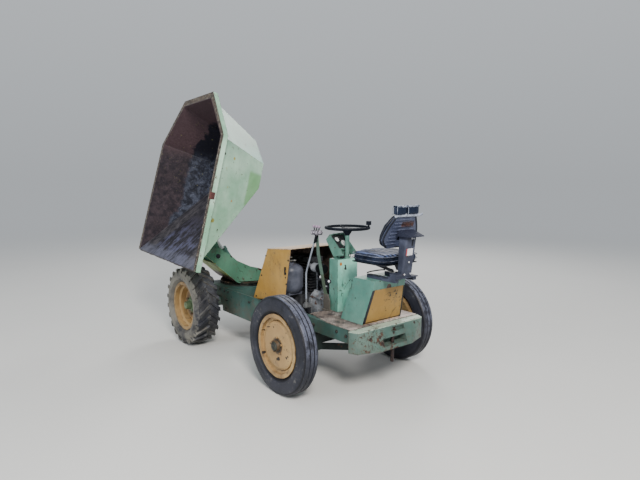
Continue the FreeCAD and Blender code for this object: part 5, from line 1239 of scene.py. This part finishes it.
def make_arm_details():
    """Pin plates and bolts on the carrier's arms. They are placed facing ahead and then swivelled."""
    turn = Matrix.Rotation(math.radians(85.1), 3, "Z")
    axis = Vector((1.489, 0.0, 0.0))

    def swung(x, y, z):
        return axis + turn @ (Vector((x, y, z)) - axis) - SHIFT

    def bolts(builder):
        for side in (1, -1):
            out = turn @ Vector((0, side, 0))
            for reach, z, size in ((-180, 580, 0.009), (-60, 590, 0.009), (60, 590, 0.008), (140, 596, 0.008)):
                add_bolt(builder, swung(1.489 + reach / 1000, side * 0.206, z / 1000), out, size, reach)
    dressed("arm_bolts", as_mesh("arm_bolts", bolts), bolt_green, "carrier")

    def collars(builder):
        for side in (1, -1):
            out = turn @ Vector((0, side, 0))
            middle = swung(1.489 + 0.401, side * 0.2062, 0.832)
            right = turn @ Vector((1, 0, 0))
            rings = []
            for height, radius in ((0.0, 0.036), (0.006, 0.036), (0.0075, 0.0335), (0.0075, 0.0215), (0.0, 0.0215)):
                rings.append([middle + out * height + right * (radius * math.cos(a)) + UP * (radius * math.sin(a))
                              for a in (2 * math.pi * k / 32 for k in range(32))])
            bridge(builder, rings, caps=False)
    dressed("pivot_collars", as_mesh("pivot_collars", collars), green_arm, "carrier")


def make_door_shadow():
    """A black strip round the seat box's door, on the edge of the box's sheet: painted shadow where the door stands
    proud.
    """
    def edge(share, inset, side):
        x = -410 - 80 * share
        half = 200 - 42 * share - inset
        return machine(x - 0.8, side * half, 529 + 316 * share)

    def build(builder):
        top = 250 / 316
        for side, wide in ((1, 24.0), (-1, 8.0)):
            rings = []
            for share in (0.0, top):
                outer, inner = edge(share, 1.0, side), edge(share, 1.0 + wide, side)
                rings.append([outer, inner, inner - Vector((0.0012, 0, 0)), outer - Vector((0.0012, 0, 0))])
            bridge(builder, rings)
        rings = []
        for side in (1, -1):
            low, high = edge(0.004, 10.0, side), edge(0.020, 10.0, side)
            rings.append([low, high, high - Vector((0.0012, 0, 0)), low - Vector((0.0012, 0, 0))])
        bridge(builder, rings)
    dressed("door_shadow", as_mesh("door_shadow", build), black_steel, "chassis", smooth=False)


def make_bonnet_latch():
    def build(builder):
        for x, z, wide, tall in ((404, 828, 9, 12), (408, 806, 6, 14), (402, 786, 10, 9)):
            add_block(builder, machine(x - wide, 290.1, z - tall), machine(x + wide, 297, z + tall), 0.002)
        add_tube(builder, [machine(404, 298, 836), machine(396, 300, 808), machine(406, 298, 782)], 0.003, 8)
    dressed("bonnet_latch", as_mesh("bonnet_latch", build), black_steel, "chassis")


def make_hubs():
    """A dark cap on each rear hub, a green cap on each front hub, and a valve stem on each rear wheel."""
    for side, label in ((1, "left"), (-1, "right")):
        def disc_stack(builder, middle, levels, sides=28):
            rings = [[middle + Vector((r * math.cos(a), side * out, r * math.sin(a)))
                      for a in (2 * math.pi * k / sides for k in range(sides))] for out, r in levels]
            bridge(builder, rings)

        def rear(builder):
            middle = machine(0, side * 675.6, 360)
            disc_stack(builder, middle, ((0.0, 0.0352), (0.004, 0.0345), (0.010, 0.027), (0.012, 0.0245), (0.013, 0.012)))
            flat = machine(0, side * 649.7, 360)
            disc_stack(builder, flat, ((0.0, 0.0445), (0.003, 0.0445), (0.004, 0.042), (0.004, 0.0375)), 36)
        dressed("rear_hub_cap_" + label, as_mesh("rear_hub_cap_" + label, rear), hub_dark, "wheel_rear_" + label)

        def front(builder):
            middle = machine(1489, side * 669.1, 366)
            disc_stack(builder, middle, ((0.0, 0.0345), (0.005, 0.033), (0.009, 0.024), (0.0095, 0.010)))
        dressed("front_hub_cap_" + label, as_mesh("front_hub_cap_" + label, front), hub_green, "wheel_front_" + label)

        def valve(builder):
            foot = machine(90, side * 655, 480)
            add_tube(builder, [foot, foot + Vector((0, side * 0.022, 0.004))], 0.0035, 8)
        dressed("valve_stem_" + label, as_mesh("valve_stem_" + label, valve), black_steel, "wheel_rear_" + label)


def make_lip():
    """The lip's steel edge, ragged with wear, with the skip."""
    def build(builder):
        rings = []
        count = 110
        for k in range(count + 1):
            left = -0.765 + 1.530 * k / count
            tear = 0.5 + 0.5 * noise.noise(Vector((left * 16, 0.3, 0))) + 0.4 * noise.noise(Vector((left * 70, 1.3, 0)))
            reach = max(0.0015, 0.0085 * tear)
            middle = SKIP_LIP_MIDDLE + SKIP_LEFT * left
            rings.append([middle + SKIP_OUT * -0.004 - SKIP_ALONG * 0.003, middle + SKIP_OUT * 0.001 - SKIP_ALONG * 0.003,
                          middle + SKIP_OUT * 0.001 + SKIP_ALONG * reach, middle + SKIP_OUT * -0.004 + SKIP_ALONG * reach])
        bridge(builder, rings)
    dressed("skip_lip_edge", as_mesh("skip_lip_edge", build), lip_rust, "skip", smooth=False)


def make_rim_tab():
    """A short rusty tab that stands on the rim's left side."""
    middle = machine(747, 757, 1420)

    def build(builder):
        rings = []
        for out, inset in ((0.0003, 0.0), (0.0050, 0.0), (0.0062, 0.002)):
            half_up, half_in = 0.028 - inset, 0.022 - inset
            rings.append([middle + SKIP_LEFT * out + SKIP_ALONG * a * half_up + SKIP_OUT * b * half_in
                          for a, b in ((-1, -1), (1, -1), (1, 1), (-1, 1))])
        bridge(builder, rings)
    dressed("rim_tab", as_mesh("rim_tab", build), tab_rust, "skip", smooth=False)


# Finishes of the new pieces

welt = plain_metal("welt", (0.010, 0.013, 0.022), (0.120, 0.135, 0.185), scale=16.0, metal=0.0, rough=0.4, rusty=0.9)
pale_strap = plain_metal("pale_strap", (0.030, 0.040, 0.070), (0.270, 0.305, 0.375), scale=42.0, metal=0.0, rough=0.6,
                         rusty=0.9, bump=0.002)
headrest_cloth = vinyl("headrest_cloth", (0.003, 0.008, 0.024), (0.014, 0.024, 0.056), dust_and_sheen_top=0.4, grain_size=900.0)
back_strip = plain_metal("back_strip", (0.200, 0.225, 0.290), (0.380, 0.420, 0.520), scale=20.0, metal=0.0, rough=0.35, rusty=0.9)
label_white = plain_metal("label_white", (0.600, 0.600, 0.640), (0.700, 0.700, 0.730), metal=0.0, rough=0.4, rusty=0.9)
label_red = plain_metal("label_red", (0.330, 0.040, 0.050), (0.430, 0.060, 0.065), metal=0.0, rough=0.4, rusty=0.9)
dial_white = plain_metal("dial_white", (0.560, 0.580, 0.560), (0.680, 0.690, 0.670), metal=0.0, rough=0.3, rusty=0.9)
panel_black = plain_metal("panel_black", (0.008, 0.009, 0.010), (0.026, 0.028, 0.030), metal=0.0, rough=0.5, rusty=0.9)
pale_green = worn_paint("pale_green", (0.200, 0.330, 0.290), (0.380, 0.470, 0.440), chips=0.70)
bolt_dark = plain_metal("bolt_dark", (0.010, 0.014, 0.013), (0.034, 0.036, 0.034), scale=30.0, metal=0.2, rusty=0.56)
bolt_green = plain_metal("bolt_green", (0.050, 0.120, 0.085), (0.090, 0.170, 0.120), scale=30.0, metal=0.0, rusty=0.60)
lip_rust = plain_metal("lip_rust", (0.010, 0.008, 0.009), (0.050, 0.036, 0.032), scale=26.0, metal=0.1, rusty=0.60)
tab_rust = plain_metal("tab_rust", (0.045, 0.016, 0.016), (0.095, 0.034, 0.030), scale=30.0, metal=0.0, rusty=0.62)
fitting_metal = plain_metal("fitting_metal", (0.040, 0.036, 0.048), (0.480, 0.450, 0.530), scale=70.0, metal=0.1, rusty=0.75)
hub_dark = plain_metal("hub_dark", (0.010, 0.011, 0.010), (0.040, 0.044, 0.034), scale=40.0, metal=0.1, rusty=0.60)
hub_green = plain_metal("hub_green", (0.055, 0.082, 0.040), (0.160, 0.205, 0.110), scale=30.0, metal=0.0, rusty=0.60)

make_cushion()
make_cushion_piping()
make_back_pad()
make_headrest()
make_back_trim()
make_housing_details()
make_dials()
make_levers()
make_bolts()
make_arm_details()
make_door_shadow()
make_bonnet_latch()
make_hubs()
make_lip()
make_rim_tab()
